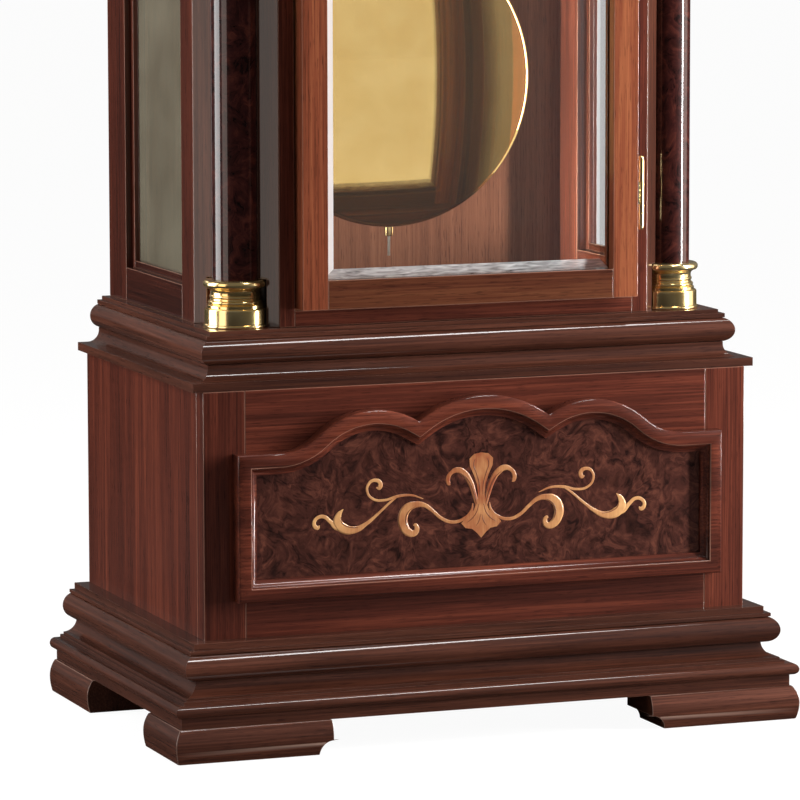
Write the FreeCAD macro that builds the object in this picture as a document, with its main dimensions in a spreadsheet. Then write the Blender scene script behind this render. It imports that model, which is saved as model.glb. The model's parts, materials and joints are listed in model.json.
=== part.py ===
import FreeCAD, Part
import itertools
import math
import os
import Sketcher
from FreeCAD import Placement, Rotation, Vector

doc = FreeCAD.newDocument("LongcaseClock")
sheet = doc.addObject("Spreadsheet::Sheet", "Sizes")
rows = itertools.count(1)
nodes = []


class Size:
    """A length or share: the text that the document works out and the number it stands for."""

    def __init__(self, text, value):
        self.text = text
        self.value = value

    def joined(self, sign, other, result):
        return Size(f"({self.text} {sign} {other.text})", result)

    def __add__(self, other):
        other = plain(other)
        return self.joined("+", other, self.value + other.value)

    def __sub__(self, other):
        other = plain(other)
        return self.joined("-", other, self.value - other.value)

    def __mul__(self, other):
        other = plain(other)
        return self.joined("*", other, self.value * other.value)

    def __truediv__(self, other):
        other = plain(other)
        return self.joined("/", other, self.value / other.value)

    def __neg__(self):
        return Size(f"(-{self.text})", -self.value)


def plain(amount):
    return amount if isinstance(amount, Size) else Size(str(amount), amount)


def square_root(amount):
    return Size(f"sqrt({amount.text})", math.sqrt(amount.value))


def size(alias, value):
    """Write one driving dimension in the sheet and hand it back by name."""
    row = next(rows)
    sheet.set(f"A{row}", alias)
    sheet.set(f"B{row}", str(value))
    sheet.setAlias(f"B{row}", alias)
    return Size(f"Sizes.{alias}", value)


zero = plain(0)


def place(piece, x, y, z):
    for axis, amount in zip("xyz", (x, y, z)):
        piece.setExpression(f"Placement.Base.{axis}", plain(amount).text)


def slab(name, x, y, z):
    """A board between pairs of low and high places along each axis."""
    board = doc.addObject("Part::Box", name)
    for side, (low, high) in zip(("Length", "Width", "Height"), (x, y, z)):
        board.setExpression(side, (high - low).text)
    place(board, x[0], y[0], z[0])
    return board


def dowel(name, radius, x, y, z):
    """A round bar along Z where z is a pair of places, or along Y where y is one."""
    bar = doc.addObject("Part::Cylinder", name)
    bar.setExpression("Radius", radius.text)
    if isinstance(y, tuple):
        bar.setExpression("Height", (y[1] - y[0]).text)
        bar.Placement = Placement(Vector(), Rotation(Vector(1, 0, 0), -90))
        place(bar, x, y[0], z)
    else:
        bar.setExpression("Height", (z[1] - z[0]).text)
        place(bar, x, y, z[0])
    return bar


def ball(name, radius, x, y, z):
    sphere = doc.addObject("Part::Sphere", name)
    sphere.setExpression("Radius", radius.text)
    place(sphere, x, y, z)
    return sphere


def arc_piece(start, end, axis, centre, turn):
    """An arc of which one coordinate of the centre is given; its ends come back in drawing order."""
    middle = (start + end) * 0.5
    run = end - start
    if axis == "u":
        hub = Vector(centre, middle.y - (centre - middle.x) * run.x / run.y, 0)
    else:
        hub = Vector(middle.x - (centre - middle.y) * run.y / run.x, centre, 0)
    first, last = (start, end) if turn > 0 else (end, start)
    low = math.atan2(first.y - hub.y, first.x - hub.x)
    high = math.atan2(last.y - hub.y, last.x - hub.x)
    if high <= low:
        high += 2 * math.pi
    circle = Part.Circle(hub, Vector(0, 0, 1), (start - hub).Length)
    return Part.ArcOfCircle(circle, low, high), (1, 2) if turn > 0 else (2, 1)


def hold(sketch, direction, piece, point, amount):
    """Tie one coordinate of a sketch point to its size."""
    if amount.text == "0":
        axis = -2 if direction == "X" else -1
        sketch.addConstraint(Sketcher.Constraint("PointOnObject", piece, point, axis))
        return
    tie = Sketcher.Constraint("Distance" + direction, -1, 1, piece, point, amount.value)
    sketch.setExpression(f"Constraints[{sketch.addConstraint(tie)}]", amount.text)


def draw(body, plane, corners):
    """A closed outline: (u, v) ends a straight run, (u, v, axis, centre, turn) ends an arc."""
    sketch = body.newObject("Sketcher::SketchObject", body.Name + "_outline")
    planes = {feature.Role: feature for feature in body.Origin.OriginFeatures}
    sketch.AttachmentSupport = [(planes[plane], "")]
    sketch.MapMode = "FlatFace"
    corners = [tuple(part if isinstance(part, str) else plain(part) for part in corner) for corner in corners]
    ends = []
    for number, corner in enumerate(corners):
        before = corners[number - 1]
        start = Vector(before[0].value, before[1].value, 0)
        end = Vector(corner[0].value, corner[1].value, 0)
        if len(corner) == 2:
            sketch.addGeometry(Part.LineSegment(start, end), False)
            ends.append((1, 2))
        else:
            arc, order = arc_piece(start, end, corner[2], corner[3].value, corner[4].value)
            sketch.addGeometry(arc, False)
            ends.append(order)
    for number, corner in enumerate(corners):
        after = (number + 1) % len(corners)
        meet = Sketcher.Constraint("Coincident", number, ends[number][1], after, ends[after][0])
        sketch.addConstraint(meet)
        hold(sketch, "X", number, ends[number][1], corner[0])
        hold(sketch, "Y", number, ends[number][1], corner[1])
        if len(corner) > 2:
            hold(sketch, "X" if corner[2] == "u" else "Y", number, 3, corner[3])
    return sketch


def prism(name, plane, corners, length, x=zero, y=zero, z=zero):
    """An outline given a thickness square to its plane."""
    body = doc.addObject("PartDesign::Body", name)
    pad = body.newObject("PartDesign::Pad", name + "_pad")
    pad.Profile = draw(body, plane, corners)
    pad.setExpression("Length", length.text)
    place(body, x, y, z)
    return body


def turned(name, plane, corners, x=zero, y=zero, z=zero):
    """A piece turned on a lathe, about Z from the XZ plane or about Y from the XY plane."""
    body = doc.addObject("PartDesign::Body", name)
    sketch = draw(body, plane, corners)
    turning = body.newObject("PartDesign::Revolution", name + "_turning")
    turning.Profile = sketch
    turning.ReferenceAxis = (sketch, ["V_Axis"])
    turning.Angle = 360
    place(body, x, y, z)
    return body


def mirrored(piece, name):
    twin = doc.addObject("Part::Mirroring", name)
    twin.Source = piece
    twin.Normal = Vector(1, 0, 0)
    return twin


def cut(name, piece, tools):
    result = doc.addObject("Part::Cut", name)
    result.Base = piece
    result.Tool = tools[0] if len(tools) == 1 else joined(name + "_tools", tools)
    return result


def joined(name, pieces):
    result = doc.addObject("Part::MultiFuse", name)
    result.Shapes = pieces
    return result


def common(name, piece, limit):
    result = doc.addObject("Part::Common", name)
    result.Base = piece
    result.Tool = limit
    return result


def node(piece):
    nodes.append(piece)
    return piece


def group(label, pieces):
    """Like pieces that share one name and stay separate solids."""
    together = doc.addObject("Part::Compound", label)
    together.Links = pieces
    return node(together)


def pair(label, pieces):
    """Pieces of the left side and their mirror images on the right."""
    return group(label, pieces + [mirrored(piece, piece.Name + "_right") for piece in pieces])


# Overall sizes of the case, from the floor up; the origin is under the middle of its footprint
base_width = size("base_width", 496)
base_depth = size("base_depth", 326)
foot_height = size("foot_height", 29)
foot_bulge = size("foot_bulge", 38)
plinth_height = size("plinth_height", 68.5)
base_height = size("base_height", 210)
waist_height = size("waist_height", 48)
trunk_width = size("trunk_width", 452)
trunk_setback = size("trunk_setback", 31)
string_height = size("string_height", 40)
hood_height = size("hood_height", 410)
cornice_height = size("cornice_height", 70)
base_wall = size("base_wall", 18)
trunk_wall = size("trunk_wall", 20)
back_thick = size("back_thick", 10)
board_fit = size("board_fit", 0.3)
overrun = size("overrun", 1)

# The pendulum of one second sets how tall the trunk is, from its floor to the dial
pendulum_length = size("pendulum_length", 994)
bob_radius = size("bob_radius", 131.4)
thread_length = size("thread_length", 26)
bob_clear = size("bob_clear", 37.6)
suspension_rise = size("suspension_rise", 64)
dial_rise = size("dial_rise", 170)
bob_rise = bob_clear + thread_length + bob_radius
trunk_height = bob_rise + pendulum_length - suspension_rise - dial_rise - string_height

base_half = base_width / 2
trunk_half = trunk_width / 2
back_y = (base_depth + foot_bulge) / 2
front_y = back_y - base_depth
trunk_front = front_y + trunk_setback
base_z = foot_height + plinth_height
waist_z = base_z + base_height
trunk_z = waist_z + waist_height
string_z = trunk_z + trunk_height
hood_z = string_z + string_height
cornice_z = hood_z + hood_height
crown_z = cornice_z + cornice_height


def flipped(profile):
    """A moulding profile turned to face the other way."""
    faced = []
    for corner in profile:
        if len(corner) == 2:
            faced.append((-plain(corner[0]), corner[1]))
        else:
            faced.append((-plain(corner[0]), corner[1], "u", -corner[3], -corner[4]))
    return faced


def moulded(name, along, profile, plan, height, start, length, x, y, z):
    """A length of moulding along X or Y, mitred by the plan that it keeps to."""
    if along == "X":
        strip = prism(name + "_strip", "YZ_Plane", flipped(profile), length, start, y, z)
    else:
        strip = prism(name + "_strip", "XZ_Plane", flipped(profile), length, x, start, z)
    limit = prism(name + "_plan", "XY_Plane", plan, height, zero, zero, z)
    return common(name, strip, limit)


def surround(label, half, front, bottom, height, reach, profile):
    """A moulding round the front and both sides, mitred at the two front corners."""
    plan = [(-half, front), (half, front), (half + reach, front - reach), (-half - reach, front - reach)]
    face = moulded(label + "_front", "X", profile, plan, height, -half - reach, (half + reach) * 2,
                   zero, front, bottom)
    plan = [(-half, back_y), (-half, front), (-half - reach, front - reach), (-half - reach, back_y)]
    side = moulded(label + "_left", "Y", profile, plan, height, back_y, back_y - front + reach,
                   -half, zero, bottom)
    return group(label, [face, side, mirrored(side, label + "_right")])


# Bracket feet: bellied brackets, mitred at the front corners, that carry the plinth
foot_belly = size("foot_belly", 14.5)
foot_tuck = size("foot_tuck", 2.5)
foot_lip = size("foot_lip", 5)
foot_inset = size("foot_inset", 18)
foot_front_length = size("foot_front_length", 140)
foot_side_length = size("foot_side_length", 91)
rear_foot_length = size("rear_foot_length", 114)
foot_hollow = size("foot_hollow", 12)


def belly_centre(fall, rise):
    """How far out the centre lies of the arc that falls back so much from the belly over a rise."""
    return foot_bulge - (fall * fall + rise * rise) / (fall * 2)


foot_profile = [
    (-foot_inset, zero),
    (foot_bulge - foot_tuck, zero),
    (foot_bulge, foot_belly, "u", belly_centre(foot_tuck, foot_belly), 1),
    (foot_bulge - foot_lip, foot_height, "u", belly_centre(foot_lip, foot_height - foot_belly), 1),
    (-foot_inset, foot_height),
]
foot_x = -base_half - foot_bulge
foot_y = front_y - foot_bulge
inset_x = -base_half + foot_inset
inset_y = front_y + foot_inset
arm_end = foot_x + foot_front_length
side_end = foot_y + foot_side_length
rear_start = back_y - rear_foot_length
front_arm = moulded("front_foot_arm", "X", foot_profile,
                    [(foot_x, foot_y), (arm_end, foot_y), (arm_end, inset_y), (inset_x, inset_y)],
                    foot_height, foot_x, foot_front_length, zero, front_y, zero)
hollow = dowel("front_foot_hollow", foot_hollow, arm_end, (foot_y - overrun, inset_y + overrun), zero)
front_arm = cut("front_foot", front_arm, [hollow])
side_arm = moulded("side_foot", "Y", foot_profile,
                   [(foot_x, foot_y), (inset_x, inset_y), (inset_x, side_end), (foot_x, side_end)],
                   foot_height, side_end, foot_side_length, -base_half, zero, zero)
rear_arm = prism("rear_foot", "XZ_Plane", flipped(foot_profile), rear_foot_length, -base_half, back_y)
pair("bracket_feet", [front_arm, side_arm, rear_arm])

# Plinth moulding: fascia, nosing, cove and torus round the foot of the base
fascia_reach = size("fascia_reach", 31)
fascia_height = size("fascia_height", 10)
nosing_round = size("nosing_round", 5)
nosing_reach = size("nosing_reach", 37.5)
plinth_fillet_reach = size("plinth_fillet_reach", 27.7)
plinth_fillet = size("plinth_fillet", 2.5)
cove_lip = size("cove_lip", 2)
plinth_cove = size("plinth_cove", 12.5)
plinth_cove_reach = size("plinth_cove_reach", 24.5)
plinth_torus = size("plinth_torus", 11.5)
plinth_torus_reach = size("plinth_torus_reach", 25)
cap_fillet_reach = size("cap_fillet_reach", 18.5)
cap_bead_reach = size("cap_bead_reach", 13.7)
cap_step = size("cap_step", 3)
nosing_z = fascia_height + nosing_round * 2
cove_z = nosing_z + plinth_fillet + cove_lip
torus_z = cove_z + plinth_cove
torus_top = torus_z + plinth_torus * 2
plinth_torus_hub = plinth_torus_reach - plinth_torus
surround("plinth_moulding", base_half, front_y, foot_height, plinth_height, nosing_reach, [
    (zero, zero),
    (fascia_reach, zero),
    (fascia_reach, fascia_height),
    (nosing_reach - nosing_round, fascia_height),
    (nosing_reach - nosing_round, nosing_z, "u", nosing_reach - nosing_round, 1),
    (plinth_fillet_reach, nosing_z),
    (plinth_fillet_reach, nosing_z + plinth_fillet),
    (plinth_cove_reach, nosing_z + plinth_fillet),
    (plinth_cove_reach, cove_z),
    (plinth_cove_reach - plinth_cove, torus_z, "u", plinth_cove_reach, -1),
    (plinth_torus_hub, torus_z),
    (plinth_torus_hub, torus_top, "u", plinth_torus_hub, 1),
    (cap_fillet_reach, torus_top),
    (cap_fillet_reach, torus_top + cap_step),
    (cap_bead_reach, torus_top + cap_step),
    (cap_bead_reach, plinth_height),
    (zero, plinth_height),
])

# Base box: veneered sides, a front of two stiles and a wide board, and a floor
floor_thick = size("floor_thick", 15)
base_stile = size("base_stile", 37)
pair("base_sides", [slab("base_side", (-base_half, base_wall - base_half), (front_y + base_wall, back_y),
                         (foot_height, waist_z))])
pair("base_front_stiles", [slab("base_front_stile", (-base_half, base_stile - base_half),
                                (front_y, front_y + base_wall), (foot_height, waist_z))])
node(slab("base_front_board", (base_stile - base_half, base_half - base_stile),
          (front_y, front_y + base_wall), (foot_height, waist_z)))
inner_half = trunk_half - trunk_wall
group("case_floors", [
    slab("base_floor", (base_wall - base_half, base_half - base_wall),
         (front_y + base_wall, back_y - back_thick), (foot_height, foot_height + floor_thick)),
    slab("trunk_floor", (-inner_half, inner_half), (trunk_front + trunk_wall, back_y - back_thick),
         (waist_z, waist_z + floor_thick)),
])

# Panel moulding: an applied frame with a three-lobed top, and the burl panel inside it
panel_margin = size("panel_margin", 26.3)
panel_lift = size("panel_lift", 31.7)
panel_face = size("panel_face", 15)
panel_proud = size("panel_proud", 14.4)
shoulder_height = size("shoulder_height", 125.3)
shoulder_run = size("shoulder_run", 36.7)
inflection_run = size("inflection_run", 35.2)
inflection_rise = size("inflection_rise", 13.4)
inner_inflection_run = size("inner_inflection_run", 45.2)
inner_inflection_rise = size("inner_inflection_rise", 17.2)
lobe_drop = size("lobe_drop", 42.7)
cusp_x = size("cusp_x", 59.5)
cusp_rise = size("cusp_rise", 21.5)
inner_cusp_rise = size("inner_cusp_rise", 19.7)
lobe_rise = size("lobe_rise", 19.5)
burl_thick = size("burl_thick", 5)
panel_half = base_half - panel_margin
panel_z = base_z + panel_lift
shoulder_z = panel_z + shoulder_height
inner_z = shoulder_z - panel_face
bend_x = panel_half - shoulder_run
inflection_x = bend_x - inflection_run


def lobe_centre(cusp_z, rise):
    """Height of the centre of the arc that rises by so much above two cusps."""
    return cusp_z + rise - (cusp_x * cusp_x + rise * rise) / (rise * 2)


def lobes(level, turn_x, turn_rise, dip_rise, hub_drop):
    """Three lobes from left to right above the shoulder level."""
    turn_z = level + turn_rise
    dip_z = level + dip_rise
    hub_z = level - hub_drop
    return [
        (-bend_x, level),
        (-turn_x, turn_z, "u", -bend_x, 1),
        (-cusp_x, dip_z, "v", hub_z, -1),
        (cusp_x, dip_z, "v", lobe_centre(dip_z, lobe_rise), -1),
        (turn_x, turn_z, "v", hub_z, -1),
        (bend_x, level, "u", bend_x, 1),
    ]


def backwards(corners):
    """The same stretch of outline drawn from its end to its start."""
    path = [corners[-1][:2]]
    for number in range(len(corners) - 1, 0, -1):
        corner = corners[number]
        earlier = corners[number - 1][:2]
        path.append(earlier if len(corner) == 2 else earlier + (corner[2], corner[3], -corner[4]))
    return path


def inner_lobes(level):
    turn_x = bend_x - inner_inflection_run
    return lobes(level, turn_x, inner_inflection_rise, inner_cusp_rise, lobe_drop - panel_face)


panel_top = prism("panel_top", "XZ_Plane", [(-panel_half, inner_z), (-panel_half, shoulder_z)]
                  + lobes(shoulder_z, inflection_x, inflection_rise, cusp_rise, lobe_drop)
                  + [(panel_half, shoulder_z), (panel_half, inner_z)] + backwards(inner_lobes(inner_z)),
                  panel_proud, zero, front_y)
panel_depth = (front_y - panel_proud, front_y)
panel_side = slab("panel_side", (-panel_half, panel_face - panel_half), panel_depth,
                  (panel_z + panel_face, inner_z))
panel_bottom = slab("panel_bottom", (-panel_half, panel_half), panel_depth, (panel_z, panel_z + panel_face))
group("panel_moulding", [panel_top, panel_side, mirrored(panel_side, "panel_side_right"), panel_bottom])
burl_half = panel_half - panel_face - board_fit
node(prism("burl_panel", "XZ_Plane", [(burl_half, panel_z + panel_face), (-burl_half, panel_z + panel_face),
                                      (-burl_half, inner_z - board_fit)]
           + inner_lobes(inner_z - board_fit)
           + [(burl_half, inner_z - board_fit)], burl_thick, zero, front_y))

# Waist moulding: plate, cove, torus and fillets that step in from the base to the trunk
ledge = size("ledge", 20)
plate_reach = size("plate_reach", 30.3)
plate_height = size("plate_height", 7.3)
waist_cove = size("waist_cove", 10.4)
waist_cove_reach = size("waist_cove_reach", 21)
waist_lip = size("waist_lip", 2.3)
waist_torus = size("waist_torus", 10.6)
waist_torus_reach = size("waist_torus_reach", 18.7)
waist_fillet_reach = size("waist_fillet_reach", 11.8)
waist_fillet = size("waist_fillet", 3.6)
waist_top_reach = size("waist_top_reach", 7.4)
ledge_half = trunk_half - ledge
ledge_front = trunk_front + ledge
waist_cove_z = plate_height + waist_cove
waist_torus_z = waist_cove_z + waist_lip
waist_torus_top = waist_torus_z + waist_torus * 2
torus_hub = ledge + waist_torus_reach - waist_torus
surround("waist_moulding", ledge_half, ledge_front, waist_z, waist_height, ledge + plate_reach, [
    (zero, zero),
    (ledge + plate_reach, zero),
    (ledge + plate_reach, plate_height),
    (ledge + waist_cove_reach, plate_height),
    (ledge + waist_cove_reach - waist_cove, waist_cove_z, "u", ledge + waist_cove_reach, -1),
    (ledge + waist_cove_reach - waist_cove, waist_torus_z),
    (torus_hub, waist_torus_z),
    (torus_hub, waist_torus_top, "u", torus_hub, 1),
    (ledge + waist_fillet_reach, waist_torus_top),
    (ledge + waist_fillet_reach, waist_torus_top + waist_fillet),
    (ledge + waist_top_reach, waist_torus_top + waist_fillet),
    (ledge + waist_top_reach, waist_height),
    (zero, waist_height),
])

# String moulding between trunk and hood, and the cornice that crowns the hood
string_reach = size("string_reach", 22)
string_cove = size("string_cove", 14)
string_fillet = size("string_fillet", 5)
cornice_reach = size("cornice_reach", 46)
cornice_cove = size("cornice_cove", 34)
cornice_fillet = size("cornice_fillet", 8)
cornice_nose = size("cornice_nose", 7)


def crown_profile(reach, cove, fillet, top):
    """Fillet, hollow cove and a square upper member below a fillet."""
    start = ledge + reach - cove
    return [
        (zero, zero),
        (start, zero),
        (start, fillet),
        (ledge + reach, fillet + cove, "u", ledge + reach, -1),
        (ledge + reach, top - fillet),
        (ledge + reach - fillet, top - fillet),
        (ledge + reach - fillet, top),
        (zero, top),
    ]


surround("hood_moulding", ledge_half, ledge_front, string_z, string_height, ledge + string_reach,
         crown_profile(string_reach, string_cove, string_fillet, string_height))
cove_top = cornice_fillet + cornice_cove
nose_top = cove_top + cornice_nose * 2
surround("cornice_moulding", ledge_half, ledge_front, cornice_z, cornice_height, ledge + cornice_reach, [
    (zero, zero),
    (ledge + cornice_reach - cornice_cove - cornice_nose, zero),
    (ledge + cornice_reach - cornice_cove - cornice_nose, cornice_fillet),
    (ledge + cornice_reach - cornice_nose, cove_top, "u", ledge + cornice_reach - cornice_nose, -1),
    (ledge + cornice_reach - cornice_nose, nose_top, "u", ledge + cornice_reach - cornice_nose, 1),
    (ledge + cornice_reach - cornice_nose - cornice_fillet, nose_top),
    (ledge + cornice_reach - cornice_nose - cornice_fillet, cornice_height),
    (zero, cornice_height),
])

# Back boards behind base, trunk and hood
back_half = inner_half - board_fit
group("back_boards", [
    slab("base_back", (base_wall - base_half, base_half - base_wall), (back_y - back_thick, back_y),
         (foot_height, waist_z)),
    slab("trunk_back", (-back_half, back_half), (back_y - back_thick, back_y),
         (waist_z, crown_z - floor_thick)),
])
node(slab("hood_top", (-inner_half, inner_half), (ledge_front, back_y), (crown_z - floor_thick, crown_z)))

# Canted corners with columns, glazed sides, a front frame and a glazed door: trunk and hood are alike
cant = size("cant", 57)
post_deep = size("post_deep", 45)
column_radius = size("column_radius", 19.8)
column_out = size("column_out", 1.5)
brass_radius = size("brass_radius", 26.5)
brass_height = size("brass_height", 40)
brass_neck = size("brass_neck", 21.5)
brass_waist = size("brass_waist", 23)
brass_lip = size("brass_lip", 1.5)
brass_drum = size("brass_drum", 15)
brass_ring = size("brass_ring", 5)
side_stile = size("side_stile", 32)
back_stile = size("back_stile", 49)
side_rail = size("side_rail", 30)
reveal = size("reveal", 11)
bead_wide = size("bead_wide", 6.5)
bead_deep = size("bead_deep", 5)
glass_thick = size("glass_thick", 4)
glass_fit = size("glass_fit", 0.3)
front_stile = size("front_stile", 14)
front_rail = size("front_rail", 13.5)
door_gap = size("door_gap", 1.5)
door_proud = size("door_proud", 16)
door_thick = size("door_thick", 22)
door_stile = size("door_stile", 23)
door_rail = size("door_rail", 25)
hinge_length = size("hinge_length", 57)
hinge_inset = size("hinge_inset", 61)
knuckle_radius = size("knuckle_radius", 3)
pin_radius = size("pin_radius", 1.2)
pin_fit = size("pin_fit", 0.05)
pin_out = size("pin_out", 4.5)
pin_setback = size("pin_setback", 5)
knuckle_gap = size("knuckle_gap", 0.4)
leaf_thick = size("leaf_thick", 2)
leaf_wide = size("leaf_wide", 5)
finial_ball = size("finial_ball", 2.6)
knob_radius = size("knob_radius", 8)
knob_neck = size("knob_neck", 3.5)
knob_length = size("knob_length", 18)
knob_head = size("knob_head", 9)
column_x = cant / 2 - trunk_half - column_out
column_y = trunk_front + cant / 2 - column_out
front_half = trunk_half - cant
opening_half = front_half - front_stile
door_half = opening_half - door_gap
door_front = trunk_front - door_proud
door_back = door_front + door_thick
light_half = door_half - door_stile
pin_x = door_half + pin_out
pin_y = door_front + pin_setback
brass_seat = brass_radius + brass_ring / 4 + board_fit
brass_profile = [
    (zero, zero),
    (brass_radius, zero),
    (brass_radius, brass_drum),
    (brass_waist, brass_drum),
    (brass_waist, brass_drum + brass_ring),
    (brass_waist + brass_lip, brass_drum + brass_ring),
    (brass_waist + brass_lip, brass_drum + brass_ring * 2),
    (brass_neck, brass_drum + brass_ring * 2),
    (brass_neck, brass_height - brass_ring),
    (brass_radius, brass_height - brass_ring / 2, "u", brass_radius, -1),
    (brass_radius, brass_height, "u", brass_radius, 1),
    (zero, brass_height),
]


def framed(name, axis, flat, wide, tall, stile, rail):
    """Two stiles and two rails round an opening; flat is the thickness, wide and tall the outside."""
    spans = {
        "stile_one": ((wide[0], wide[0] + stile[0]), tall),
        "stile_two": ((wide[1] - stile[1], wide[1]), tall),
        "rail_low": ((wide[0] + stile[0], wide[1] - stile[1]), (tall[0], tall[0] + rail)),
        "rail_high": ((wide[0] + stile[0], wide[1] - stile[1]), (tall[1] - rail, tall[1])),
    }
    sticks = []
    for part, (across, up) in spans.items():
        if axis == "X":
            sticks.append(slab(f"{name}_{part}", across, flat, up))
        else:
            sticks.append(slab(f"{name}_{part}", flat, across, up))
    return sticks


def storey(name, low, high):
    """Posts, columns, sides and front frame of one glazed storey of the case."""
    post = prism(name + "_post_blank", "XY_Plane", [
        (-trunk_half, trunk_front + cant),
        (-front_half, trunk_front),
        (-front_half, trunk_front + post_deep),
        (post_deep - trunk_half, trunk_front + cant),
    ], high - low, zero, zero, low)
    seats = [
        dowel(name + "_shaft_seat", column_radius + board_fit, column_x, column_y, (low, high)),
        dowel(name + "_base_seat", brass_seat, column_x, column_y,
              (low - overrun, low + brass_height + board_fit)),
        dowel(name + "_capital_seat", brass_seat, column_x, column_y,
              (high - brass_height - board_fit, high + overrun)),
    ]
    pair(name + "_posts", [cut(name + "_post", post, seats)])
    pair(name + "_columns", [dowel(name + "_column", column_radius, column_x, column_y,
                                   (low + brass_height, high - brass_height))])
    foot = turned(name + "_column_base", "XZ_Plane", brass_profile, column_x, column_y, low)
    cap_profile = [(corner[0], -plain(corner[1])) if len(corner) == 2
                   else (corner[0], -plain(corner[1]), corner[2], corner[3], -corner[4])
                   for corner in brass_profile]
    cap = turned(name + "_capital", "XZ_Plane", cap_profile, column_x, column_y, high)
    pair(name + "_column_brass", [foot, cap])

    deep = (trunk_front + cant, back_y)
    sticks = framed(name + "_side", "Y", (-trunk_half, trunk_wall - trunk_half), deep, (low, high),
                    (side_stile, back_stile), side_rail)
    light = (deep[0] + side_stile, deep[1] - back_stile)
    tall = (low + side_rail, high - side_rail)
    beads = framed(name + "_side_bead", "Y", (reveal - bead_deep - trunk_half, reveal - trunk_half), light,
                   tall, (bead_wide, bead_wide), bead_wide)
    pair(name + "_side_frames", sticks + beads)
    pane = (reveal - trunk_half, reveal + glass_thick - trunk_half)
    pair(name + "_side_glass", [slab(name + "_side_pane", pane, (light[0] + glass_fit, light[1] - glass_fit),
                                     (tall[0] + glass_fit, tall[1] - glass_fit))])
    group(name + "_front_frame", framed(name + "_front", "X", (trunk_front, trunk_front + trunk_wall),
                                        (-front_half, front_half), (low, high),
                                        (front_stile, front_stile), front_rail))


def hinge(name, middle):
    """One butt hinge with ball finials: the case leaf with its pin, and the door leaf."""
    low = middle - hinge_length / 2
    third = hinge_length / 3
    case = [dowel(name + "_pin", pin_radius, pin_x, pin_y, (low, low + hinge_length))]
    for part, start in (("low", low), ("high", low + third * 2)):
        span = (start, start + third)
        case.append(dowel(f"{name}_{part}_knuckle", knuckle_radius, pin_x, pin_y, span))
        case.append(slab(f"{name}_{part}_web", (pin_x, pin_x + leaf_thick), (pin_y, trunk_front), span))
        case.append(slab(f"{name}_{part}_leaf", (pin_x, pin_x + leaf_wide),
                         (trunk_front - leaf_thick, trunk_front), span))
    case.append(ball(name + "_low_ball", finial_ball, pin_x, pin_y, low - finial_ball / 2))
    case.append(ball(name + "_high_ball", finial_ball, pin_x, pin_y, low + hinge_length + finial_ball / 2))
    span = (low + third + knuckle_gap, low + third * 2 - knuckle_gap)
    moving = joined(name + "_door_blank", [
        dowel(name + "_door_knuckle", knuckle_radius, pin_x, pin_y, span),
        slab(name + "_door_leaf", (door_half, door_half + leaf_thick),
             (door_front + leaf_thick / 2, trunk_front - leaf_thick / 2), span),
    ])
    bore = dowel(name + "_bore", pin_radius + pin_fit, pin_x, pin_y, (low, low + hinge_length))
    return joined(name + "_case_side", case), cut(name + "_door_side", moving, [bore])


def door(name, low, high):
    """A glazed door that stands proud of its frame, hung on two hinges at its right edge."""
    tall = (low + front_rail + door_gap, high - front_rail - door_gap)
    pane_front = door_front + reveal
    pane_back = pane_front + glass_thick
    rebate_half = light_half + bead_wide
    rebate_tall = (tall[0] + door_rail - bead_wide, tall[1] - door_rail + bead_wide)
    rebate = slab(name + "_door_rebate", (-rebate_half, rebate_half), (pane_front, door_back + overrun),
                  rebate_tall)
    sticks = [cut(stick.Name + "_rebated", stick, [rebate])
              for stick in framed(name + "_door", "X", (door_front, door_back), (-door_half, door_half), tall,
                                  (door_stile, door_stile), door_rail)]
    beads = framed(name + "_door_bead", "X", (pane_back, pane_back + bead_deep), (-rebate_half, rebate_half),
                   rebate_tall, (bead_wide, bead_wide), bead_wide)
    group(name + "_door_frame", sticks + beads)
    node(slab(name + "_door_glass", (glass_fit - rebate_half, rebate_half - glass_fit), (pane_front, pane_back),
              (rebate_tall[0] + glass_fit, rebate_tall[1] - glass_fit)))
    lower = hinge(name + "_lower_hinge", tall[0] + hinge_inset + hinge_length / 2)
    upper = hinge(name + "_upper_hinge", tall[1] - hinge_inset - hinge_length / 2)
    group(name + "_hinge_leaves", [lower[0], upper[0]])
    group(name + "_door_leaves", [lower[1], upper[1]])
    node(turned(name + "_door_knob", "XY_Plane", [
        (zero, zero),
        (knob_neck, zero),
        (knob_neck, knob_head - knob_length),
        (knob_radius, knob_head - knob_length),
        (knob_radius, knob_head / 3 - knob_length),
        (knob_radius - knob_head / 3, -knob_length, "u", knob_radius - knob_head / 3, -1),
        (zero, -knob_length),
    ], door_stile / 2 - door_half, door_front, (tall[0] + tall[1]) / 2))


storey("trunk", trunk_z, string_z)
storey("hood", hood_z, cornice_z)
door("trunk", trunk_z, string_z)
door("hood", hood_z, cornice_z)

# Pediment: two swan-neck boards on the cornice, with a turned finial on a block between them
scroll_outer = size("scroll_outer", 240)
scroll_inner = size("scroll_inner", 56)
scroll_round = size("scroll_round", 28)
scroll_rise = size("scroll_rise", 126)
scroll_end = size("scroll_end", 26)
scroll_turn_x = size("scroll_turn_x", 150)
scroll_turn_z = size("scroll_turn_z", 66)
scroll_hub_x = size("scroll_hub_x", 6.8)
scroll_hollow_x = size("scroll_hollow_x", 236)
scroll_thick = size("scroll_thick", 22)
block_side = size("block_side", 56)
block_height = size("block_height", 70)
urn_height = size("urn_height", 140)
urn_radius = size("urn_radius", 24)
urn_neck = size("urn_neck", 8)
urn_foot = size("urn_foot", 20)
urn_foot_height = size("urn_foot_height", 10)
urn_stem = size("urn_stem", 16)
urn_bowl = size("urn_bowl", 48)
urn_collar = size("urn_collar", 8)
urn_tip = size("urn_tip", 3)
pediment_y = ledge_front - ledge
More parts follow.
